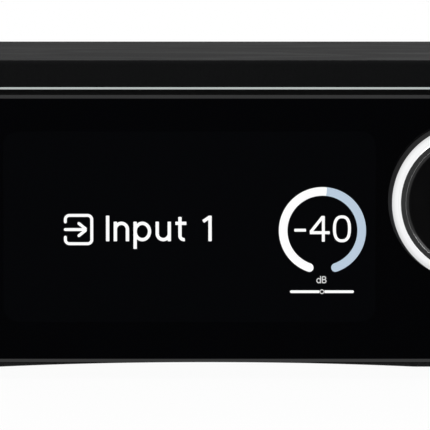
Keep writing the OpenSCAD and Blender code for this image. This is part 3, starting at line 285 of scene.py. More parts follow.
def brushedLines():                   # noise drawn out along one direction: small factor = long lines
    tree, given, place = newGroup("brushedLines", {"Stretch": (20.0, 3000.0, 3000.0)})
    drawn = vectorMaths(tree, "MULTIPLY", place, given["Stretch"])
    noise = noiseOf(tree, drawn, 1.0, Detail=4.0, Roughness=0.65)
    return giveOut(tree, Tone=mapped(tree, noise, 0.3, 0.7), Height=noise)


def spunRings():                      # lathe lines: noise of the way out from an axis along Y and along it
    tree, given, place = newGroup("spunRings", {"Centre": (0.0, 0.0, 0.0), "Scale": 6000.0})
    offset = vectorMaths(tree, "SUBTRACT", place, given["Centre"])
    radius = vectorMaths(tree, "LENGTH", vectorMaths(tree, "MULTIPLY", offset, (1.0, 0.0, 1.0)))
    way = maths(tree, "SUBTRACT", radius, split(tree, offset)["Y"])
    noise = addNode(tree, "ShaderNodeTexNoise", {
        "W": maths(tree, "MULTIPLY", way, given["Scale"]), "Scale": 1.0, "Detail": 3.0},
        noise_dimensions="1D").outputs["Fac"]
    return giveOut(tree, Tone=mapped(tree, noise, 0.3, 0.7), Height=noise)


def tapeWraps():                      # overlapping turns of tape on a ring core: saw teeth over the angle
    tree, given, place = newGroup("tapeWraps", {"Centre": (0.0, 0.0, 0.0), "Turns": 64.0})
    offset = split(tree, vectorMaths(tree, "SUBTRACT", place, given["Centre"]))
    share = maths(tree, "MULTIPLY", maths(tree, "ARCTAN2", offset["Y"], offset["X"]), 1 / (2 * math.pi))
    saw = maths(tree, "FRACT", maths(tree, "MULTIPLY", share, given["Turns"]))
    return giveOut(tree, Tone=saw, Height=saw)


def boardTraces():                    # copper tracks under solder resist: edges of stretched square cells
    tree, given, place = newGroup("boardTraces", {"Scale": 260.0})
    cells = addNode(tree, "ShaderNodeTexVoronoi", {
        "Vector": place, "Scale": given["Scale"], "Randomness": 0.6}, feature="F1", distance="CHEBYCHEV")
    track = maths(tree, "FRACT", maths(tree, "MULTIPLY", cells.outputs["Distance"], 4.0))
    return giveOut(tree, Tone=mapped(tree, track, 0.45, 0.55), Height=track)


def wireStripes():                    # side by side wires of a flat cable: waves across X
    tree, given, place = newGroup("wireStripes", {"Pitch": 0.00127})
    wave = maths(tree, "PINGPONG", maths(tree, "DIVIDE", split(tree, place)["X"], given["Pitch"]), 1.0)
    return giveOut(tree, Tone=wave, Height=wave)


def handledMarks():                   # faint broad smears left by hands and cloths
    tree, given, place = newGroup("handledMarks", {"Scale": 18.0, "Edge": 0.5}, ["Mask"])
    noise = noiseOf(tree, place, given["Scale"], Detail=5.0, Distortion=1.2)
    return giveOut(tree, Mask=mapped(tree, noise, given["Edge"], 0.8))


def settledDust():                    # specks on faces that look up
    tree, given, place = newGroup("settledDust", {"Scale": 900.0}, ["Mask"])
    up = split(tree, addNode(tree, "ShaderNodeNewGeometry").outputs["Normal"])["Z"]
    specks = mapped(tree, noiseOf(tree, place, given["Scale"], Detail=2.0), 0.62, 0.75)
    return giveOut(tree, Mask=maths(tree, "MULTIPLY", mapped(tree, up, 0.5, 0.95), specks))


def pixelGrid():                      # lit squares of a display: 1 inside a pixel, 0 in the lines between
    tree, given, place = newGroup("pixelGrid", {"Pitch": 0.00012}, ["Mask"])
    parts, inside = split(tree, place), []
    for axis in "XZ":
        spot = maths(tree, "FRACT", maths(tree, "DIVIDE", parts[axis], given["Pitch"]))
        inside.append(maths(tree, "GREATER_THAN", spot, 0.1))
    return giveOut(tree, Mask=maths(tree, "MULTIPLY", *inside))


groups = {make.__name__: make() for make in (powderGrain, brushedLines, spunRings, tapeWraps, boardTraces,
                                             wireStripes, handledMarks, settledDust, pixelGrid)}
print("shader groups:", len(groups))


# Finishes. dark and light are mixed by the Tone of the pattern, which is powderGrain where none is named;
# rough runs from the first value to the second, bump is (strength, distance in metres), marks adds
# roughness in smears, or takes it away where they are wiped smooth, dust mixes specks in

knobAxis, toroidAxis = middle("knob_rim"), middle("transformer")
dustColour = (0.30, 0.29, 0.28, 1)
finishes = {
    "hood_paint": {
        "inputs": {"Scale": 1900.0}, "dark": (0.0040, 0.0042, 0.0045), "light": (0.0066, 0.0070, 0.0073),
        "rough": (0.73, 0.85), "bump": (0.22, 0.00005), "specular": 0.048, "marks": -0.18,
        "smears": {"Scale": 20.0, "Edge": 0.4}, "dust": 0.03},
    "skirt_paint": {
        "inputs": {"Scale": 2400.0}, "dark": (0.0075, 0.0075, 0.0080), "light": (0.011, 0.011, 0.0116),
        "rough": (0.38, 0.5), "bump": (0.15, 0.00004), "specular": 0.35, "marks": 0.05},
    "tray_steel": {
        "inputs": {"Scale": 1500.0}, "dark": (0.018, 0.018, 0.019), "light": (0.026, 0.026, 0.027),
        "rough": (0.42, 0.56), "bump": (0.2, 0.00005), "specular": 0.4},
    "polished_trim": {
        "pattern": "brushedLines", "inputs": {"Stretch": (30.0, 5000.0, 5000.0)},
        "dark": (0.43, 0.465, 0.455), "light": (0.52, 0.56, 0.55), "rough": (0.16, 0.24),
        "bump": (0.05, 0.00001), "metallic": 1.0},
    "black_glass": {
        "inputs": {"Scale": 60.0}, "dark": (0.0001, 0.0002, 0.0007), "light": (0.0002, 0.0003, 0.0010),
        "rough": (0.015, 0.03), "marks": 0.05, "specular": 0.42},
    "black_plastic": {
        "inputs": {"Scale": 2600.0}, "dark": (0.010, 0.010, 0.0105), "light": (0.016, 0.016, 0.0165),
        "rough": (0.36, 0.5), "bump": (0.18, 0.00003)},
    "gloss_black": {
        "inputs": {"Scale": 120.0}, "dark": (0.0028, 0.0028, 0.0030), "light": (0.0040, 0.0040, 0.0043),
        "rough": (0.05, 0.11), "marks": 0.06, "specular": 0.32},
    "foot_rubber": {
        "inputs": {"Scale": 1300.0}, "dark": (0.010, 0.010, 0.010), "light": (0.020, 0.020, 0.020),
        "rough": (0.7, 0.88), "bump": (0.35, 0.00008), "specular": 0.3},
    "zinc_steel": {
        "inputs": {"Scale": 500.0}, "dark": (0.48, 0.49, 0.51), "light": (0.62, 0.63, 0.66),
        "rough": (0.24, 0.4), "metallic": 1.0},
    "black_steel": {
        "inputs": {"Scale": 1500.0}, "dark": (0.020, 0.020, 0.021), "light": (0.040, 0.040, 0.042),
        "rough": (0.28, 0.42), "metallic": 0.7},
    "display": {
        "pattern": "brushedLines", "inputs": {"Stretch": (60.0, 60.0, 900.0)},
        "dark": (0.006, 0.007, 0.010), "light": (0.010, 0.012, 0.020), "rough": (0.18, 0.3)},
    "knob_black": {
        "pattern": "spunRings", "inputs": {"Centre": tuple(knobAxis), "Scale": 9000.0},
        "dark": (0.023, 0.023, 0.024), "light": (0.035, 0.035, 0.036), "rough": (0.42, 0.56),
        "bump": (0.06, 0.00001)},
    "knob_polish": {
        "pattern": "spunRings", "inputs": {"Centre": tuple(knobAxis), "Scale": 16000.0},
        "dark": (0.90, 0.905, 0.91), "light": (0.95, 0.955, 0.96), "rough": (0.05, 0.1), "metallic": 1.0},
    "board": {
        "pattern": "boardTraces", "inputs": {"Scale": 240.0}, "dark": (0.010, 0.060, 0.028),
        "light": (0.022, 0.110, 0.050), "rough": (0.28, 0.36), "bump": (0.2, 0.00005)},
    "receiver_red": {
        "inputs": {"Scale": 200.0}, "dark": (0.020, 0.0012, 0.003), "light": (0.034, 0.002, 0.005),
        "rough": (0.04, 0.09)},
    "nickel": {
        "pattern": "brushedLines", "inputs": {"Stretch": (900.0, 120.0, 900.0)}, "metallic": 1.0,
        "dark": (0.60, 0.59, 0.565), "light": (0.72, 0.705, 0.68), "rough": (0.14, 0.24)},
    "gold_plate": {
        "pattern": "brushedLines", "inputs": {"Stretch": (500.0, 2500.0, 500.0)}, "metallic": 1.0,
        "dark": (0.76, 0.51, 0.19), "light": (0.88, 0.63, 0.27), "rough": (0.12, 0.22)},
    "red_plastic": {
        "inputs": {"Scale": 1800.0}, "dark": (0.33, 0.006, 0.010), "light": (0.38, 0.008, 0.012),
        "rough": (0.22, 0.28), "bump": (0.04, 0.00001)},
    "white_plastic": {
        "inputs": {"Scale": 1800.0}, "dark": (0.72, 0.72, 0.69), "light": (0.77, 0.77, 0.74),
        "rough": (0.26, 0.32), "bump": (0.04, 0.00001)},
    "winding": {
        "pattern": "tapeWraps", "inputs": {"Centre": tuple(toroidAxis), "Turns": 72.0},
        "dark": (0.42, 0.27, 0.03), "light": (0.60, 0.42, 0.07), "rough": (0.2, 0.34),
        "bump": (0.5, 0.0002)},
    "clamp_steel": {
        "pattern": "brushedLines", "inputs": {"Stretch": (60.0, 1500.0, 900.0)}, "metallic": 1.0,
        "dark": (0.36, 0.365, 0.38), "light": (0.46, 0.465, 0.48), "rough": (0.26, 0.42)},
    "black_aluminium": {
        "pattern": "brushedLines", "inputs": {"Stretch": (2500.0, 2500.0, 50.0)},
        "dark": (0.030, 0.030, 0.031), "light": (0.048, 0.048, 0.050), "rough": (0.34, 0.48),
        "metallic": 0.6},
    "can_sleeve": {
        "inputs": {"Scale": 300.0}, "dark": (0.018, 0.028, 0.085), "light": (0.026, 0.040, 0.115),
        "rough": (0.16, 0.28)},
    "ribbon_grey": {
        "pattern": "wireStripes", "inputs": {"Pitch": 0.00127}, "dark": (0.36, 0.36, 0.375),
        "light": (0.52, 0.52, 0.54), "rough": (0.34, 0.46), "bump": (0.6, 0.0003)},
}


def useGroup(tree, name, inputs={}):
    return addNode(tree, "ShaderNodeGroup", inputs, node_tree=groups[name]).outputs


def finishMaterial(name, look):
    material, tree, shader = newMaterial(name)
    pattern = useGroup(tree, look.get("pattern", "powderGrain"), look["inputs"])
    colour = mixColour(tree, pattern["Tone"], (*look["dark"], 1), (*look["light"], 1))
    rough = mapped(tree, pattern["Tone"], 0.0, 1.0, *look["rough"])
    if "marks" in look:
        marks = useGroup(tree, "handledMarks", look.get("smears", {}))["Mask"]
        rough = maths(tree, "MULTIPLY_ADD", marks, look["marks"], rough)
    if "dust" in look:
        share = maths(tree, "MULTIPLY", useGroup(tree, "settledDust")["Mask"], look["dust"])
        colour = mixColour(tree, share, colour, dustColour)
    tree.links.new(colour, shader.inputs["Base Color"])
    tree.links.new(rough, shader.inputs["Roughness"])
    if "bump" in look:
        strength, distance = look["bump"]
        bump = addNode(tree, "ShaderNodeBump", {
            "Strength": strength, "Distance": distance, "Height": pattern["Height"]})
        tree.links.new(bump.outputs["Normal"], shader.inputs["Normal"])
    shader.inputs["Metallic"].default_value = look.get("metallic", 0.0)
    shader.inputs["Specular IOR Level"].default_value = look.get("specular", 0.5)
    return material


materials = {name: finishMaterial(name, look) for name, look in finishes.items()}

# light of the display: name, colour and strength; even colour, dimmed in the lines of the pixel grid
litLook = {
    "white": ("displayWhite", (1.0, 1.0, 1.0), 1.0), "blue": ("displayBlue", (0.49, 0.60, 0.72), 1.0),
    "soft": ("displaySoft", (0.62, 0.62, 0.62), 1.0), "glow": ("displayGlow", (0.2, 0.4, 1.0), 0.0005)}
litGlass = {"dim": 0.93, "base": (0.0004, 0.0005, 0.0008, 1), "rough": 0.05}


def litMaterial(name, colour, strength):
    material, tree, shader = newMaterial(name)
    dim = tuple(litGlass["dim"] * part for part in colour)
    lines = mixColour(tree, useGroup(tree, "pixelGrid")["Mask"], (*dim, 1), (*colour, 1))
    tree.links.new(lines, shader.inputs["Emission Color"])
    shader.inputs["Emission Strength"].default_value = strength
    shader.inputs["Base Color"].default_value = litGlass["base"]
    shader.inputs["Roughness"].default_value = litGlass["rough"]
    return material


lit = {colour: litMaterial(*look) for colour, look in litLook.items()}

# white print on the case: slightly uneven ink
inkLook = {"grain": 5000.0, "dark": (0.58, 0.58, 0.57, 1), "light": (0.70, 0.70, 0.69, 1), "rough": 0.6}


def inkMaterial():
    material, tree, shader = newMaterial("legendInk")
    grain = useGroup(tree, "powderGrain", {"Scale": inkLook["grain"]})["Tone"]
    colour = mixColour(tree, grain, inkLook["dark"], inkLook["light"])
    tree.links.new(colour, shader.inputs["Base Color"])
    shader.inputs["Roughness"].default_value = inkLook["rough"]
    return material


ink = inkMaterial()
print("materials:", len(materials) + len(lit) + 1)

# finish of every CAD node, by the slot that its record names
for part in frame["record"]["subparts"]:
    if part["node"] in frame["nodes"]:
        for place in frame["nodes"][part["node"]].material_slots:
            place.material = materials[part["material_slot"]]
print("CAD nodes finished")


# Floor: a disc that fades out, white for the camera with the shadow kept, and clear from below

floorLook = {"radius": 1.3, "fadeFrom": 0.55, "fadeTo": 1.2, "white": 0.96, "colour": (0.86, 0.86, 0.86, 1),
             "rings": 24, "spokes": 96}


# x = r cos t, y = r sin t, z = 0, with t running backwards, so that the faces look up
def layFloor():
    r = np.linspace(0, floorLook["radius"], floorLook["rings"])[:, None]
    t = np.linspace(2 * np.pi, 0, floorLook["spokes"], endpoint=False)
    flat = np.stack([r * np.cos(t), r * np.sin(t), 0 * r * t], axis=-1)
    mesh = bpy.data.meshes.new("floorDisc")
    mesh.from_pydata(flat.reshape(-1, 3).tolist(), [], gridQuads(*flat.shape[:2], True).tolist())
    floor = bpy.data.objects.new("floorDisc", mesh)
    bpy.context.collection.objects.link(floor)
    floor.visible_glossy = False
    material, tree, shader = newMaterial("paleFloor")
    tree.nodes.clear()
    radius = vectorMaths(tree, "LENGTH", addNode(tree, "ShaderNodeTexCoord").outputs["Object"])
    fade = mapped(tree, radius, floorLook["fadeFrom"], floorLook["fadeTo"], kind="SMOOTHSTEP")
    seen = addNode(tree, "ShaderNodeLightPath").outputs["Is Camera Ray"]
    matt = addNode(tree, "ShaderNodeBsdfDiffuse", {"Color": floorLook["colour"]})
    white = addNode(tree, "ShaderNodeEmission", {"Color": (1, 1, 1, 1), "Strength": 1.0})
    clear = addNode(tree, "ShaderNodeBsdfTransparent")
    gone = maths(tree, "MAXIMUM", fade, addNode(tree, "ShaderNodeNewGeometry").outputs["Backfacing"])
    mixed = addNode(tree, "ShaderNodeMixShader", {
        0: maths(tree, "MULTIPLY", seen, floorLook["white"]), 1: matt.outputs[0], 2: white.outputs[0]})
    faded = addNode(tree, "ShaderNodeMixShader", {0: gone, 1: mixed.outputs[0], 2: clear.outputs[0]})
    addNode(tree, "ShaderNodeOutputMaterial", {"Surface": faded.outputs[0]})
    mesh.materials.append(material)


aimCamera()
hangLamps()
paintRoom()
layFloor()
print("camera, lamps and stage set")


# Skirt under the glass, in mm: its arch reaches up to the glass, where the lip keeps its least thickness

skirtLook = {"archR": 1240.0, "gap": 0.02, "least": 0.05, "behind": 0.3, "edge": 0.15}
skirtColumns = 240


# a section carried along X: lip under the glass and upright behind it, whose lower edge follows the arch,
# z = top - R + sqrt(R^2 - x^2), and stays level outside it; each end closes on a point inside the section
def foldSkirt():
    look, (low, high) = sized(skirtLook), span("front_skirt")
    x = np.linspace(low[0], high[0], skirtColumns)
    one, radius = np.ones(len(x)), look["archR"]
    lipTop = glassLow[2] - look["gap"]
    bottom = np.maximum(low[2], lipTop - look["least"] - radius + np.sqrt(radius ** 2 - x ** 2))
    edge = np.minimum(look["edge"], (lipTop - bottom) / 2)
    back = glassHigh[1] + look["behind"]
    corners = [(low[1] * one, bottom + edge), (low[1] * one, lipTop * one), (back * one, lipTop * one),
               (back * one, high[2] * one), (high[1] * one, high[2] * one), (high[1] * one, bottom),
               (low[1] + edge, bottom)]
    section = np.stack([np.stack([x, y, z], axis=1) for y, z in corners], axis=1)
    hub = np.stack([x, (back + high[1]) / 2 * one, (bottom + lipTop) / 2], axis=1)
    tips = [np.repeat(hub[k][None, None], len(corners), axis=1) for k in (0, -1)]
    points = np.concatenate([tips[0], section, tips[1]])
    surface = points.reshape(-1, 3), gridQuads(len(points), len(corners), True)
    makePiece("skirtPanel", surface, "skirt_paint", stands=["front_skirt"], crease=24)


foldSkirt()
print("skirt folded")


# Rotary knob, in mm: turned ring and face, from the CAD's own radii

knobLook = {"land": 1.0, "chamfer": 2.25, "step": 0.3, "annulus": 0.95, "lip": 0.4, "lipDrop": 0.1,
            "slopeDrop": 0.65, "edge": 0.05, "bulge": 0.09, "dish": 0.4}
knobSides = {"ring": 320, "face": 240, "across": 16, "faceRows": 40}
knobSeat = (knobAxis[0], span("knob_rim")[1][1], knobAxis[2])
forward = (0, -1, 0)


# polished ring, as radius and height before its seat: land, chamfer, step, annulus and a lip that falls
# a little; the chamfer bulges by 4u(1 - u) across its width. Inside the ring is a black one whose height
# falls as 2u - u^2 from the lip to the face
def turnKnobRing():
    look, (low, high) = sized(knobLook), span("knob_rim")
    depth, outer, edge = high[1] - low[1], (high[0] - low[0]) / 2, look["edge"]
    rim, flat = outer - look["chamfer"], depth - look["step"]
    lipOut = rim - look["annulus"]
    lipIn, lipLow = lipOut - look["lip"], flat - look["lipDrop"]
    u = np.linspace(0, 1, knobSides["across"])
    start, end = np.array((outer, look["land"])), np.array((rim, depth))
    across = np.array((end[1] - start[1], start[0] - end[0])) / np.linalg.norm(end - start)
    chamfer = start + u[:, None] * (end - start) + 4 * (u * (1 - u))[:, None] * look["bulge"] * across
    eases = edge * ((u == 0) | (u == 1))                 # only the two ends of the chamfer are eased
    polished = eased([(lipIn, 0, 0), (outer, 0, edge), *np.column_stack([chamfer, eases]),
                      (rim, flat, edge), (lipOut, flat, edge), (lipIn, lipLow, edge)])
    ring = turned(polished, knobSeat, forward, count=knobSides["ring"])
    makePiece("knobRing", ring, "knob_polish", "knob", ["knob_rim"])
    faceLow, faceHigh = span("knob_face")
    inner = (faceHigh[0] - faceLow[0]) / 2
    fall = np.stack([lipIn + (inner - lipIn) * u, lipLow - look["slopeDrop"] * (2 * u - u * u)], axis=1)
    black = np.concatenate([[(inner, 0), (lipIn, 0)], fall])
    slope = turned(black, knobSeat, forward, count=knobSides["ring"])
    makePiece("knobSlope", slope, "gloss_black", "knob")


# face: height = edge height - dish * (1 - (r / R)^2), closed by a flat back
def turnKnobFace():
    low, high = span("knob_face")
    radius = (high[0] - low[0]) / 2
    r = np.linspace(0, radius, knobSides["faceRows"])
    front = np.stack([r, knobSeat[1] - low[1] - knobLook["dish"] * mm * (1 - (r / radius) ** 2)], axis=1)
    profile = np.concatenate([front, [(radius, 0.0), (0.0, 0.0)]])
    surface = turned(profile, knobSeat, forward, False, knobSides["face"])
    makePiece("knobFace", surface, "gloss_black", "knob", ["knob_face"])


turnKnobRing()
turnKnobFace()
print("knob turned")


# Strokes: flat marks with soft ends, for the display and the printed legends

# plane of a mark: origin, right, up and out
frontPlane = (np.array((0, faceY, 0)), np.array((1.0, 0, 0)), np.array((0, 0, 1.0)), np.array((0, -1.0, 0)))
rearPlane = (np.array((0, rearY, 0)), np.array((-1.0, 0, 0)), np.array((0, 0, 1.0)), np.array((0, 1.0, 0)))
strokeLook = {"thick": 0.03, "capRows": 9, "spacing": 0.3, "crease": 60}
ends = {"round": (1.0, 1.0), "soft": (0.3, 0.3), "square": (0.15, 0.15), "halfSquare": (1.0, 0.15)}
wholeTurn = 365                       # degrees: a ring's end overlaps its start


def line(start, end, count=16):
    return np.linspace(start, end, count)


# ellipse arc, angles in degrees: centre + radii * (cos t, sin t), squarer where the power is under 1
def arc(centre, radii, start, end, count=72, power=1.0):
    angle = np.radians(np.linspace(start, end, count))
    spoke = np.stack([np.cos(angle), np.sin(angle)], axis=1)
    return np.array(centre) + np.array(radii) * np.sign(spoke) * np.abs(spoke) ** power


def chain(*paths):                    # paths end to end, the shared points dropped
    return np.concatenate([paths[0]] + [path[1:] for path in paths[1:]])


# a stroke along a path: each point moves sideways by half * sin(phi) within a cap of an end and by half
# between the caps, and the outline is raised along the plane's out direction; a cap of 1 is round, near 0
# square
def stroke(path, width, plane, cap=ends["round"], lift=0.0):
    path = np.asarray(path, float)
    run = np.concatenate([[0], np.cumsum(np.linalg.norm(np.diff(path, axis=0), axis=1))])
    half, total = width / 2, run[-1]
    phi = np.linspace(0, np.pi / 2, strokeLook["capRows"])
    first = cap[0] * half * (1 - np.cos(phi))
    last = total - cap[1] * half * (1 - np.cos(phi[::-1]))
    count = max(3, int(total / (strokeLook["spacing"] * half)))
    between = np.linspace(first[-1], last[0], count)[1:-1]
    at = np.concatenate([first, between, last])
    reach = half * np.concatenate([np.sin(phi), np.ones(len(between)), np.sin(phi)[::-1]])
    slope = np.gradient(path, run, axis=0)
    place = np.stack([np.interp(at, run, path[:, k]) for k in (0, 1)], axis=1)
    ahead = np.stack([np.interp(at, run, slope[:, k]) for k in (0, 1)], axis=1)
    ahead = ahead / np.linalg.norm(ahead, axis=1, keepdims=True)
    side = np.stack([-ahead[:, 1], ahead[:, 0]], axis=1) * reach[:, None]
    rails = np.stack([place + side, place + side, place - side, place - side], axis=1)
    top = lift + strokeLook["thick"] * mm
    heights = np.array([lift, top, top, lift])
    origin, right, up, out = plane
    points = origin + rails[..., :1] * right + rails[..., 1:] * up + heights[None, :, None] * out
    return points.reshape(-1, 3), gridQuads(len(at), 4, True)


def strokes(paths, width, plane, cap=ends["round"], lift=0.0):         # along paths in mm
    return [stroke(path * mm, width * mm, plane, cap, lift) for path in paths]


# Letters and figures as stroke paths, in units of the cap height: (advance, paths)
pen = 0.065                           # half a stroke
bow = 0.235                           # half the inner width of n and u, from stem to stem
stem = pen + 2 * bow                  # their right stem
rise = 0.765                          # height of the small letters
roof = 1 - pen                        # upper strokes of the capitals
glyphs = {
    "I": (2 * pen, [line((pen, 0), (pen, 1))]),
    "n": (stem + pen, [line((pen, 0), (pen, rise)),
                       chain(arc((pen + bow, 0.46), (bow, 0.24), 180, 0),
                             line((stem, 0.46), (stem, 0)))]),
    "p": (0.69, [line((pen, -0.3), (pen, rise)), arc((0.345, 0.382), (0.28, 0.318), 180, 540)]),
    "u": (stem + pen, [line((stem, 0), (stem, rise)),
                       chain(line((pen, rise), (pen, 0.305)),
                             arc((pen + bow, 0.305), (bow, 0.24), 180, 360))]),
    "t": (0.44, [chain(line((0.18, 0.95), (0.18, 0.21)), arc((0.34, 0.21), (0.16, 0.145), 180, 280)),
                 line((0.0, 0.7), (0.43, 0.7))]),
    "1": (0.38, [line((0.31, 0), (0.31, 1)), line((0.04, 0.77), (0.31, 0.95))]),
    "2": (0.62, [chain(arc((0.31, 0.70), (0.225, 0.22), 165, -30),
                       line((0.505, 0.59), (0.09, 0.08))),
                 line((0.05, pen), (0.60, pen))]),
    "3": (0.60, [arc((0.27, 0.72), (0.22, 0.20), 150, -90), arc((0.27, 0.28), (0.25, 0.20), 90, -150)]),
    "4": (0.79, [line((0.543, 0), (0.543, 1)), line((0.528, 0.975), (0.05, 0.37)),
                 line((0.02, 0.35), (0.79, 0.35))]),
    "0": (0.695, [arc((0.3475, 0.5), (0.29, 0.463), 90, 455, power=0.8)]),
    "-": (0.455, [line((0, 0.447), (0.455, 0.447))]),
    "+": (0.60, [line((0.05, 0.5), (0.55, 0.5)), line((0.3, 0.25), (0.3, 0.75))]),
    "d": (0.70, [line((0.61, 0), (0.61, 1.04)), arc((0.35, 0.37), (0.264, 0.30), 0, 360)]),
    "B": (0.66, [line((pen, pen), (pen, roof)),
                 chain(line((pen, roof), (0.33, roof)), arc((0.33, 0.725), (0.2, 0.21), 90, -90),
                       line((0.33, 0.515), (pen, 0.515))),
                 chain(line((pen, 0.515), (0.36, 0.515)), arc((0.36, 0.29), (0.22, 0.225), 90, -90),
                       line((0.36, pen), (pen, pen)))]),
    "L": (0.56, [line((pen, 0), (pen, 1)), line((pen, pen), (0.54, pen))]),
    "R": (0.66, [line((pen, 0), (pen, 1)),
                 chain(line((pen, roof), (0.34, roof)), arc((0.34, 0.7), (0.22, 0.235), 90, -90),
                       line((0.34, 0.465), (pen, 0.465))),
                 line((0.34, 0.45), (0.62, 0.01))]),
    " ": (0.26, []),
}


# a line of text: start is its lower left corner on the plane, or its middle where centred is set
def wordStrokes(text, start, height, plane, gap=0.12, weight=2 * pen, centred=False, **shape):
    advances = [glyphs[letter][0] for letter in text]
    lefts = np.cumsum([0] + [advance + gap for advance in advances[:-1]])
    shift = -(lefts[-1] + advances[-1]) / 2 if centred else 0.0
    return [stroke(np.array(start) + (path + (left + shift, 0)) * height, weight * height, plane, **shape)
            for letter, left in zip(text, lefts) for path in glyphs[letter][1]]


# Display: everything lies on the glass, sizes in mm, places from the middle of the front and the floor

panel = {"left": -53.8, "right": 44.8, "low": 15.6, "high": 66.2, "corner": 4.0, "thick": 0.012,
         "around": 160}
level = {"centre": (30.72, 39.88), "outer": 11.56, "inner": 9.27, "openHalf": 13.2, "whiteTo": 83.8,
         "under": 8.0, "text": "-40", "height": 6.87, "drop": 2.96, "shift": 0.05, "gap": 0.124,
         "weight": 0.114}
unit = {"text": "dB", "height": 1.87, "drop": 14.0, "shift": -0.25, "gap": 0.1, "weight": 0.14}
balance = {"half": 8.48, "thick": 0.72, "drop": 16.25, "shift": -0.1, "ring": 0.5, "ringStroke": 0.24,
           "gap": 0.66}
source = {"text": "Input 1", "start": (-26.66, 37.05), "height": 6.81, "gap": 0.17}
arrowBox = {"centre": (-33.93, 40.16), "half": (3.5, 3.76), "corner": 1.1, "stroke": 0.78, "mouth": 1.65,
            "shaft": (-3.9, 2.1), "wing": (2.3, 1.85)}
markLift = 0.02 * mm                  # from the glass to the marks; half as much again to the upper ones


# lit area: a thin slab; its outline at the angle t is the centre of a corner's arc, taken by the signs of
# cos t and sin t, plus corner * (cos t, sin t)
def lightPanel():
    halfX, halfZ = (panel["right"] - panel["left"]) / 2, (panel["high"] - panel["low"]) / 2
    angle = np.linspace(0, 2 * np.pi, panel["around"], endpoint=False)
    spoke, corner = np.stack([np.cos(angle), np.sin(angle)], axis=1), panel["corner"]
    edge = np.sign(spoke) * (halfX - corner, halfZ - corner) + corner * spoke
    centre = np.array(((panel["right"] + panel["left"]) / 2, (panel["high"] + panel["low"]) / 2))
    shares = np.array([0.0, 1.0, 1.0, 0.0])              # back middle, back edge, front edge, front middle
    heights = np.array([0.0, 0.0, panel["thick"], panel["thick"]]) * mm
    flat = (centre + shares[:, None, None] * edge) * mm
    origin, right, up, out = frontPlane
    points = origin + flat[..., :1] * right + flat[..., 1:] * up + heights[:, None, None] * out
    surface = points.reshape(-1, 3), gridQuads(4, len(angle), True)
    makePiece("displayPanel", surface, "display", material=lit["glow"])


def showMark(name, marks, colour):
    makePiece(name, joined(marks), "display", crease=strokeLook["crease"], material=lit[colour])


def showPaths(name, colour, paths, width, cap=ends["round"], lift=markLift):
    showMark(name, strokes(paths, width, frontPlane, cap, lift), colour)


def showWord(name, colour, look, start, cap, **shape):
    marks = wordStrokes(look["text"], np.array(start) * mm, look["height"] * mm, frontPlane, look["gap"],
                        cap=cap, lift=markLift, **shape)
    showMark(name, marks, colour)


def levelGauge():
    centre = np.array(level["centre"])
    radius, width = (level["outer"] + level["inner"]) / 2, level["outer"] - level["inner"]
    under = level["whiteTo"] + level["under"]
    rest = arc(centre, (radius, radius), under, level["openHalf"] - 90, count=120)
    done = arc(centre, (radius, radius), 270 - level["openHalf"], level["whiteTo"], count=120)
    showPaths("gaugeRest", "blue", [rest], width)
    showPaths("gaugeDone", "white", [done], width, ends["halfSquare"], 1.5 * markLift)
    for name, look, colour in (("levelNumber", level, "white"), ("levelUnit", unit, "soft")):
        showWord(name, colour, look, centre + (look["shift"], -look["drop"]), ends["soft"],
                 weight=look["weight"], centred=True)


def balanceBar():
    centre = np.array(level["centre"]) + (balance["shift"], -balance["drop"])
    sides = [line(centre + (sign * balance["half"], 0), centre + (sign * balance["gap"], 0))
             for sign in (-1, 1)]
    showPaths("balanceBar", "white", sides, balance["thick"], ends["halfSquare"])
    ring = arc(centre, (balance["ring"], balance["ring"]), 0, wholeTurn)
    showPaths("balanceMark", "soft", [ring], balance["ringStroke"], ends["square"])


# pictogram: a box with round corners, open at the left, and an arrow into it
def sourceMark():
    half, r = np.array(arrowBox["half"]), arrowBox["corner"]
    sides, last = [], (-half[0], arrowBox["mouth"])
    for signX, signZ, turn in ((-1, 1, 180), (1, 1, 90), (1, -1, 0), (-1, -1, 270)):
        bend = arc((half - r) * (signX, signZ), (r, r), turn, turn - 90, 24)
        sides += [line(last, bend[0]), bend]
        last = bend[-1]
    outline = chain(*sides, line(last, (-half[0], -arrowBox["mouth"])))
    tail, tip = arrowBox["shaft"]
    back, side = arrowBox["wing"]
    arrow = [line((x, z), (tip, 0)) for x, z in ((tail, 0), (tip - back, side), (tip - back, -side))]
    paths = [path + arrowBox["centre"] for path in [outline] + arrow]
    showPaths("sourceIcon", "white", paths, arrowBox["stroke"])
    showWord("sourceLabel", "white", source, source["start"], ends["square"])


lightPanel()
levelGauge()
balanceBar()
sourceMark()
print("display drawn")


# Separate solids of one node

# boxes of a node's solids: every point takes the lowest label among the points that it shares a triangle
# with, until nothing changes, and the points of one label give one box
def solidBoxes(node):
    mesh = frame["nodes"][node].data
    points = np.empty(len(mesh.vertices) * 3, dtype=np.float32)
    mesh.vertices.foreach_get("co", points)
    corners = np.empty(len(mesh.loops), dtype=np.int32)
    mesh.loops.foreach_get("vertex_index", corners)
    places, same = np.unique(np.round(points.reshape(-1, 3), 6), axis=0, return_inverse=True)
    faces = same.reshape(-1)[corners].reshape(-1, 3)
    label, before = np.arange(len(places)), None
    while before is None or not np.array_equal(label, before):
        before = label.copy()
        lowest = label[faces].min(axis=1)
        for k in range(3):
            np.minimum.at(label, faces[:, k], lowest)
        label = label[label]
    groupsOf = [places[label == one] for one in np.unique(label)]
    return [(group.min(axis=0), group.max(axis=0)) for group in groupsOf]


# a turned part of the rear panel: seat on the panel, radius, and its two ends as heights over the seat
def rearSizes(low, high):
    centre = (low + high) / 2
    return (centre[0], rearY, centre[2]), (high[0] - low[0]) / 2, low[1] - rearY, high[1] - rearY


backward = (0, 1, 0)


# Feet, in mm: moulded rubber with a round sole edge and a ring groove (inner, outer, depth)

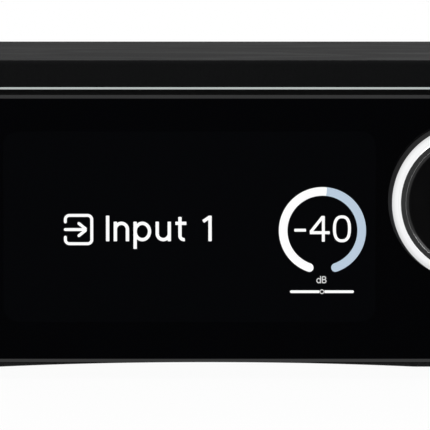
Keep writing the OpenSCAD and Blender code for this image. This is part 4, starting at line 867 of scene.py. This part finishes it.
footLook = {"bore": 1.7, "well": 3.8, "taper": 2.0, "edge": 0.7, "groove": (5.6, 7.0, 0.5), "soft": 0.25}


def mouldFeet():
    pads, look = [], sized(footLook)
    (inner, outer, deep), soft = look["groove"], look["soft"]
    for low, high in solidBoxes("feet"):
        top, tall, centre = (high[0] - low[0]) / 2, high[2] - low[2], (low + high) / 2
        profile = eased([
            (look["bore"], tall, 0), (look["bore"], tall / 2, 0), (look["well"], tall / 2, 0),
            (look["well"], 0, soft), (inner, 0, soft / 2), (inner + deep, deep, soft),
            (outer - deep, deep, soft), (outer, 0, soft / 2), (top - look["taper"], 0, look["edge"]),
            (top, tall, soft)])
        pads.append(turned(profile, (centre[0], centre[1], low[2]), (0, 0, 1)))
    makePiece("footPads", joined(pads), "foot_rubber", stands=["feet"])


# Screws: a turned head and shank with a six-sided socket. Lengths in mm, and shares of the head's radius
# (key), of its height (socket, dome) and of the key (mouth, and the socket's cone as radius and two depths)

screwLook = {"tip": 0.35, "edge": 0.12, "hoodHead": 2.2, "rearShank": 1.5}
screwShare = {"key": 0.45, "socket": 0.62, "dome": 0.3, "mouth": 1.12, "cone": (0.6, 0.2, 0.35)}
screwSides = 72


# profile from the tip of the shank to the floor of the socket; rows inside the socket are six-sided:
# radius * cos 30 / cos((angle mod 60) - 30)
def screwSurface(face, along, headR, headH, shankR, shankL, sunk):
    look, key = sized(screwLook), screwShare["key"] * headR
    edge, tip = look["edge"], look["tip"]
    under, top = (-headH, 0.0) if sunk else (0.0, headH)
    floor = top - screwShare["socket"] * headH
    head = [(headR, 0, edge)] + ([] if sunk else [(headR, top - screwShare["dome"] * headH, 2 * edge)])
    outline = eased([
        (0, -shankL, 0), (shankR - tip, -shankL, 0), (shankR, tip - shankL, 0), (shankR, under, 0), *head,
        (screwShare["mouth"] * key, top, edge), (key, top, 0)])
    coneR, coneTop, coneTip = np.multiply(screwShare["cone"], key)
    socket = np.array([(key, top), (key, floor), (coneR, floor - coneTop), (0, floor - coneTip)])
    sided = np.concatenate([np.zeros(len(outline), bool), [True, True, False, False]])

    def section(radius, height, angle):
        six = np.cos(np.pi / 6) / np.cos(np.mod(angle, np.pi / 3) - np.pi / 6)
        return radius * np.where(sided[:, None], six[None, :], 1.0)

    return turned(np.concatenate([outline, socket]), face, along, False, screwSides, section)


def setScrews():
    hood, rear, look = [], [], sized(screwLook)
    for low, high in solidBoxes("hood_screws"):
        centre, side, headR = (low + high) / 2, np.sign((low + high)[0]), (high[2] - low[2]) / 2
        face = (high[0] if side > 0 else low[0], centre[1], centre[2])
        length = high[0] - low[0]
        hood.append(screwSurface(face, (side, 0, 0), headR, look["hoodHead"], headR / 2, length, True))
    for low, high in solidBoxes("rear_screws"):
        seat, headR, back, front = rearSizes(low, high)
        rear.append(screwSurface(seat, backward, headR, front, look["rearShank"], -back, False))
    for name, surfaces, node in (("hoodScrews", hood, "hood_screws"), ("rearScrews", rear, "rear_screws")):
        makePiece(name, joined(surfaces), "black_steel", stands=[node], crease=24)


mouldFeet()
setScrews()
print("feet and screws made")


# Line sockets, in mm: plated shells with a rolled lip, and inserts with a dished face round the pin hole

socketLook = {"wall": 0.85, "flange": 1.2, "flangeOut": 1.85, "flangeEdge": (0.1, 0.25), "lip": 0.32,
              "roll": (0.12, -0.1, 0.02), "neck": 0.5}
socketSides = {"shell": 96, "insert": 80}
insertLook = {"pin": 1.6, "pinDeep": 8.0, "pinEdge": 0.1, "dish": 0.45, "land": 0.35, "edge": 0.2}


def shellProfile(flangeR, back, front):
    look = sized(socketLook)
    (rootEdge, flangeEdge), flange, lip = look["flangeEdge"], look["flange"], look["lip"]
    bulge, draw, mouth = look["roll"]
    outer = flangeR - look["flangeOut"]
    inner = outer - look["wall"]
    return eased([
        (inner, back, 0), (outer, back, 0), (outer, 0, 0), (flangeR, 0, rootEdge),
        (flangeR, flange, flangeEdge), (outer, flange, look["neck"]), (outer, front - 3 * lip, lip),
        (outer + bulge, front - 1.5 * lip, lip), (outer + draw, front, lip), (inner, front, lip / 2),
        (inner + mouth, front - lip, 0)])


def insertProfile(radius, back, front):
    look = sized(insertLook)
    pin, land, dish, hole = look["pin"], look["land"], front - look["dish"], front - look["pinDeep"]
    return eased([
        (0, back, 0), (radius, back, 0), (radius, front, look["edge"]),
        (radius - 2 * land, front, land), (pin + land, dish, land), (pin, dish, look["pinEdge"]),
        (pin, hole, 0), (0, hole, 0)])


def turnSockets(name, node, finish, profile, closed, count):
    surfaces = []
    for low, high in solidBoxes(node):
        seat, *sizes = rearSizes(low, high)
        surfaces.append(turned(profile(*sizes), seat, backward, closed, count))
    makePiece(name, joined(surfaces), finish, stands=[node])


turnSockets("socketShells", "line_shells", "gold_plate", shellProfile, True, socketSides["shell"])
for tone in ("White", "Red"):
    node, finish = f"line_inserts_{tone.lower()}", f"{tone.lower()}_plastic"
    turnSockets(f"inserts{tone}", node, finish, insertProfile, False, socketSides["insert"])
print("line sockets turned")


# Loudspeaker caps, in mm: fluted screw caps with a plain collar

capLook = {"fluteR": 1.2, "fluteOut": 0.4, "ease": 0.6, "collarH": 3.0, "collarIn": 1.0, "bore": 4.05,
           "mouth": 5.0, "mouthDeep": 2.6, "soft": 0.25}
capCounts = {"flutes": 12, "around": 360, "cornerRows": 8, "wallRows": 8, "mouthRows": 5}


# section of the fluted part: a flute is a circle of radius f centred at d, so at the angle a from its
# middle the wall lies at d cos a - sqrt(f^2 - d^2 sin^2 a) where that is inside the plain radius
def capSurface(low, high):
    look, (seat, radius, back, front) = sized(capLook), rearSizes(low, high)
    ease, soft, bore, mouth = look["ease"], look["soft"], look["bore"], look["mouth"]
    collar, shoulder, step = radius - look["collarIn"], front - look["collarH"], front - look["mouthDeep"]
    outer = eased([
        (bore, back, 0), (radius, back, ease), (radius, shoulder, ease), (collar, shoulder, soft),
        (collar, front, ease)], capCounts["cornerRows"])
    rows = np.linspace(back + ease, shoulder - ease, capCounts["wallRows"])[1:-1]
    wall = np.stack([np.full(len(rows), radius), rows], axis=1)
    inner = eased([(mouth, front, soft), (mouth, step, 0), (bore, step, 0)], capCounts["mouthRows"])
    foot, head = np.split(outer, [2 * capCounts["cornerRows"]])          # below and above the fluted wall
    profile = np.concatenate([foot, wall, head, inner])
    away, hollow = radius + look["fluteOut"], look["fluteR"]

    def section(plain, height, angle):
        part = 2 * np.pi / capCounts["flutes"]
        off = np.mod(angle + part / 2, part) - part / 2
        inside = np.maximum(hollow ** 2 - (away * np.sin(off)) ** 2, 0)
        flute = np.where(inside > 0, away * np.cos(off) - np.sqrt(inside), 1.0)
        fluted = (height < shoulder + 1e-7) & (plain > collar - 1e-7)
        return np.where(fluted, np.minimum(plain, flute[None, :]), plain)

    return turned(profile, seat, backward, True, capCounts["around"], section)


for k in range(1, 5):
    node, finish = f"post_cap_{k}", "red_plastic" if k % 2 else "black_plastic"
    makePiece(f"postCap{k}", capSurface(*span(node)), finish, f"cap_{k}", [node], crease=40)
print("loudspeaker caps turned")


# Headphone ring nut, in mm: a fine knurl on its rim

ringLook = {"deep": 0.12, "bore": 5.55, "ease": 0.4, "rim": 0.02}
ringCounts = {"teeth": 60, "around": 720, "cornerRows": 7}


# rim radius = r - deep * |sin(teeth * angle / 2)|, on the rim's rows only
def knurlRing():
    look, (low, high) = sized(ringLook), span("headphone_nut")
    centre, radius, tall = (low + high) / 2, (high[0] - low[0]) / 2, high[1] - low[1]
    bore, ease = look["bore"], look["ease"]
    profile = eased([(bore, 0, 0), (radius, 0, ease / 3), (radius, tall, ease), (bore, tall, ease / 2)],
                    ringCounts["cornerRows"])

    def section(plain, height, angle):
        cut = look["deep"] * np.abs(np.sin(ringCounts["teeth"] * angle / 2))
        return np.where(plain > radius - look["rim"], plain - cut, plain)

    seat = (centre[0], high[1], centre[2])
    surface = turned(profile, seat, forward, True, ringCounts["around"], section)
    makePiece("headphoneRing", surface, "nickel", stands=["headphone_nut"], crease=40)


knurlRing()
print("headphone ring knurled")


# Printed legends, in mm: plain signs and numbers

legend = {"height": 3.0, "weight": 0.15, "lineUp": 8.6, "postUp": 10.2}
standbySign = {"radius": 1.7, "stroke": 0.42, "open": 38, "bar": (0.35, 2.3)}
earthSign = {"up": 8.5, "bars": ((0.0, 2.4), (-0.9, 1.5), (-1.8, 0.6)), "post": 1.6, "stroke": 0.42}
rockerSign = {"reach": 5.6, "dip": 4.4, "half": 8.2, "tilt": 8.0, "at": 4.6, "size": 1.35, "stroke": 0.42}


def printMark(name, marks, body="case"):
    makePiece(name, joined(marks), "white_plastic", body, crease=strokeLook["crease"], material=ink)


def printStandby():
    centre = middle("standby_button")[[0, 2]] / mm
    plane = (np.array((0, span("standby_button")[0][1], 0)), *frontPlane[1:])
    r, gap = standbySign["radius"], standbySign["open"]
    loop = arc(centre, (r, r), 90 + gap, 450 - gap)
    bar = line(*[centre + (0, up) for up in standbySign["bar"]])
    printMark("standbySign", strokes([loop, bar], standbySign["stroke"], plane), "standby")


# the rear plane's right runs along -X, so a place is given as (-x, z)
def printRear():
    height = legend["height"] * mm

    def words(text, x, z):
        return wordStrokes(text, (-x, z), height, rearPlane, weight=legend["weight"], centred=True)

    posts = sorted([tuple(middle(f"post_cap_{k}")[[0, 2]]) for k in range(1, 5)])
    marks = []
    for (x, z), sign in zip(posts, "+-+-"):
        marks += words(sign, x, z + legend["postUp"] * mm)
    for pair, side in ((posts[:2], "R"), (posts[2:], "L")):
        marks += words(side, (pair[0][0] + pair[1][0]) / 2, pair[0][1] + legend["postUp"] * mm)
    printMark("postLegend", marks)
    shells = np.array([((low + high) / 2)[[0, 2]] for low, high in solidBoxes("line_shells")])
    columns, rows = [np.unique(np.round(shells[:, k], 5)) for k in (0, 1)]
    marks = []
    for number, x in enumerate(columns[::-1], 1):
        marks += words(str(number), x, rows[-1] + legend["lineUp"] * mm)
    for z, side in zip(rows, "RL"):
        marks += words(side, columns[0] - legend["lineUp"] * mm, z - height / 2)
    printMark("lineLegend", marks)


def printEarth():
    centre = middle("earth_post")[[0, 2]] / mm * (-1, 1) + (0, earthSign["up"])
    paths = [line(centre + (-half, up), centre + (half, up)) for up, half in earthSign["bars"]]
    paths.append(line(centre, centre + (0, earthSign["post"])))
    printMark("earthSign", strokes(paths, earthSign["stroke"], rearPlane))


# each half of the rocker's face is flat, from the dip at the pivot's level to the reach at its end, and the
# whole face is turned by the rest tilt about X; the upper half has a bar and the lower one a ring
def printRocker():
    joint = [one for one in frame["record"]["behaviour"]["joints"] if one["name"] == "mains_switch"][0]
    pivot, tilt = np.array(joint["pos_m"]), math.radians(-rockerSign["tilt"])
    turn = np.array([[1, 0, 0], [0, math.cos(tilt), -math.sin(tilt)], [0, math.sin(tilt), math.cos(tilt)]])
    origin = pivot + turn @ np.array((0, rockerSign["dip"], 0)) * mm
    climb, run = np.array((rockerSign["reach"] - rockerSign["dip"], rockerSign["half"])) / math.hypot(
        rockerSign["reach"] - rockerSign["dip"], rockerSign["half"])
    size, marks = rockerSign["size"], []
    for side in (1, -1):
        up, out = turn @ np.array((0, climb, side * run)) * side, turn @ np.array((0, run, -side * climb))
        centre = np.array((0.0, side * rockerSign["at"]))
        path = (line(centre + (0, -size), centre + (0, size)) if side > 0
                else arc(centre, (size, size), 0, wholeTurn))
        marks += strokes([path], rockerSign["stroke"], (origin, rearPlane[1], up, out), ends["soft"])
    printMark("rockerSigns", marks, "mains_rocker")


printStandby()
printRear()
printEarth()
printRocker()
print("legends printed")
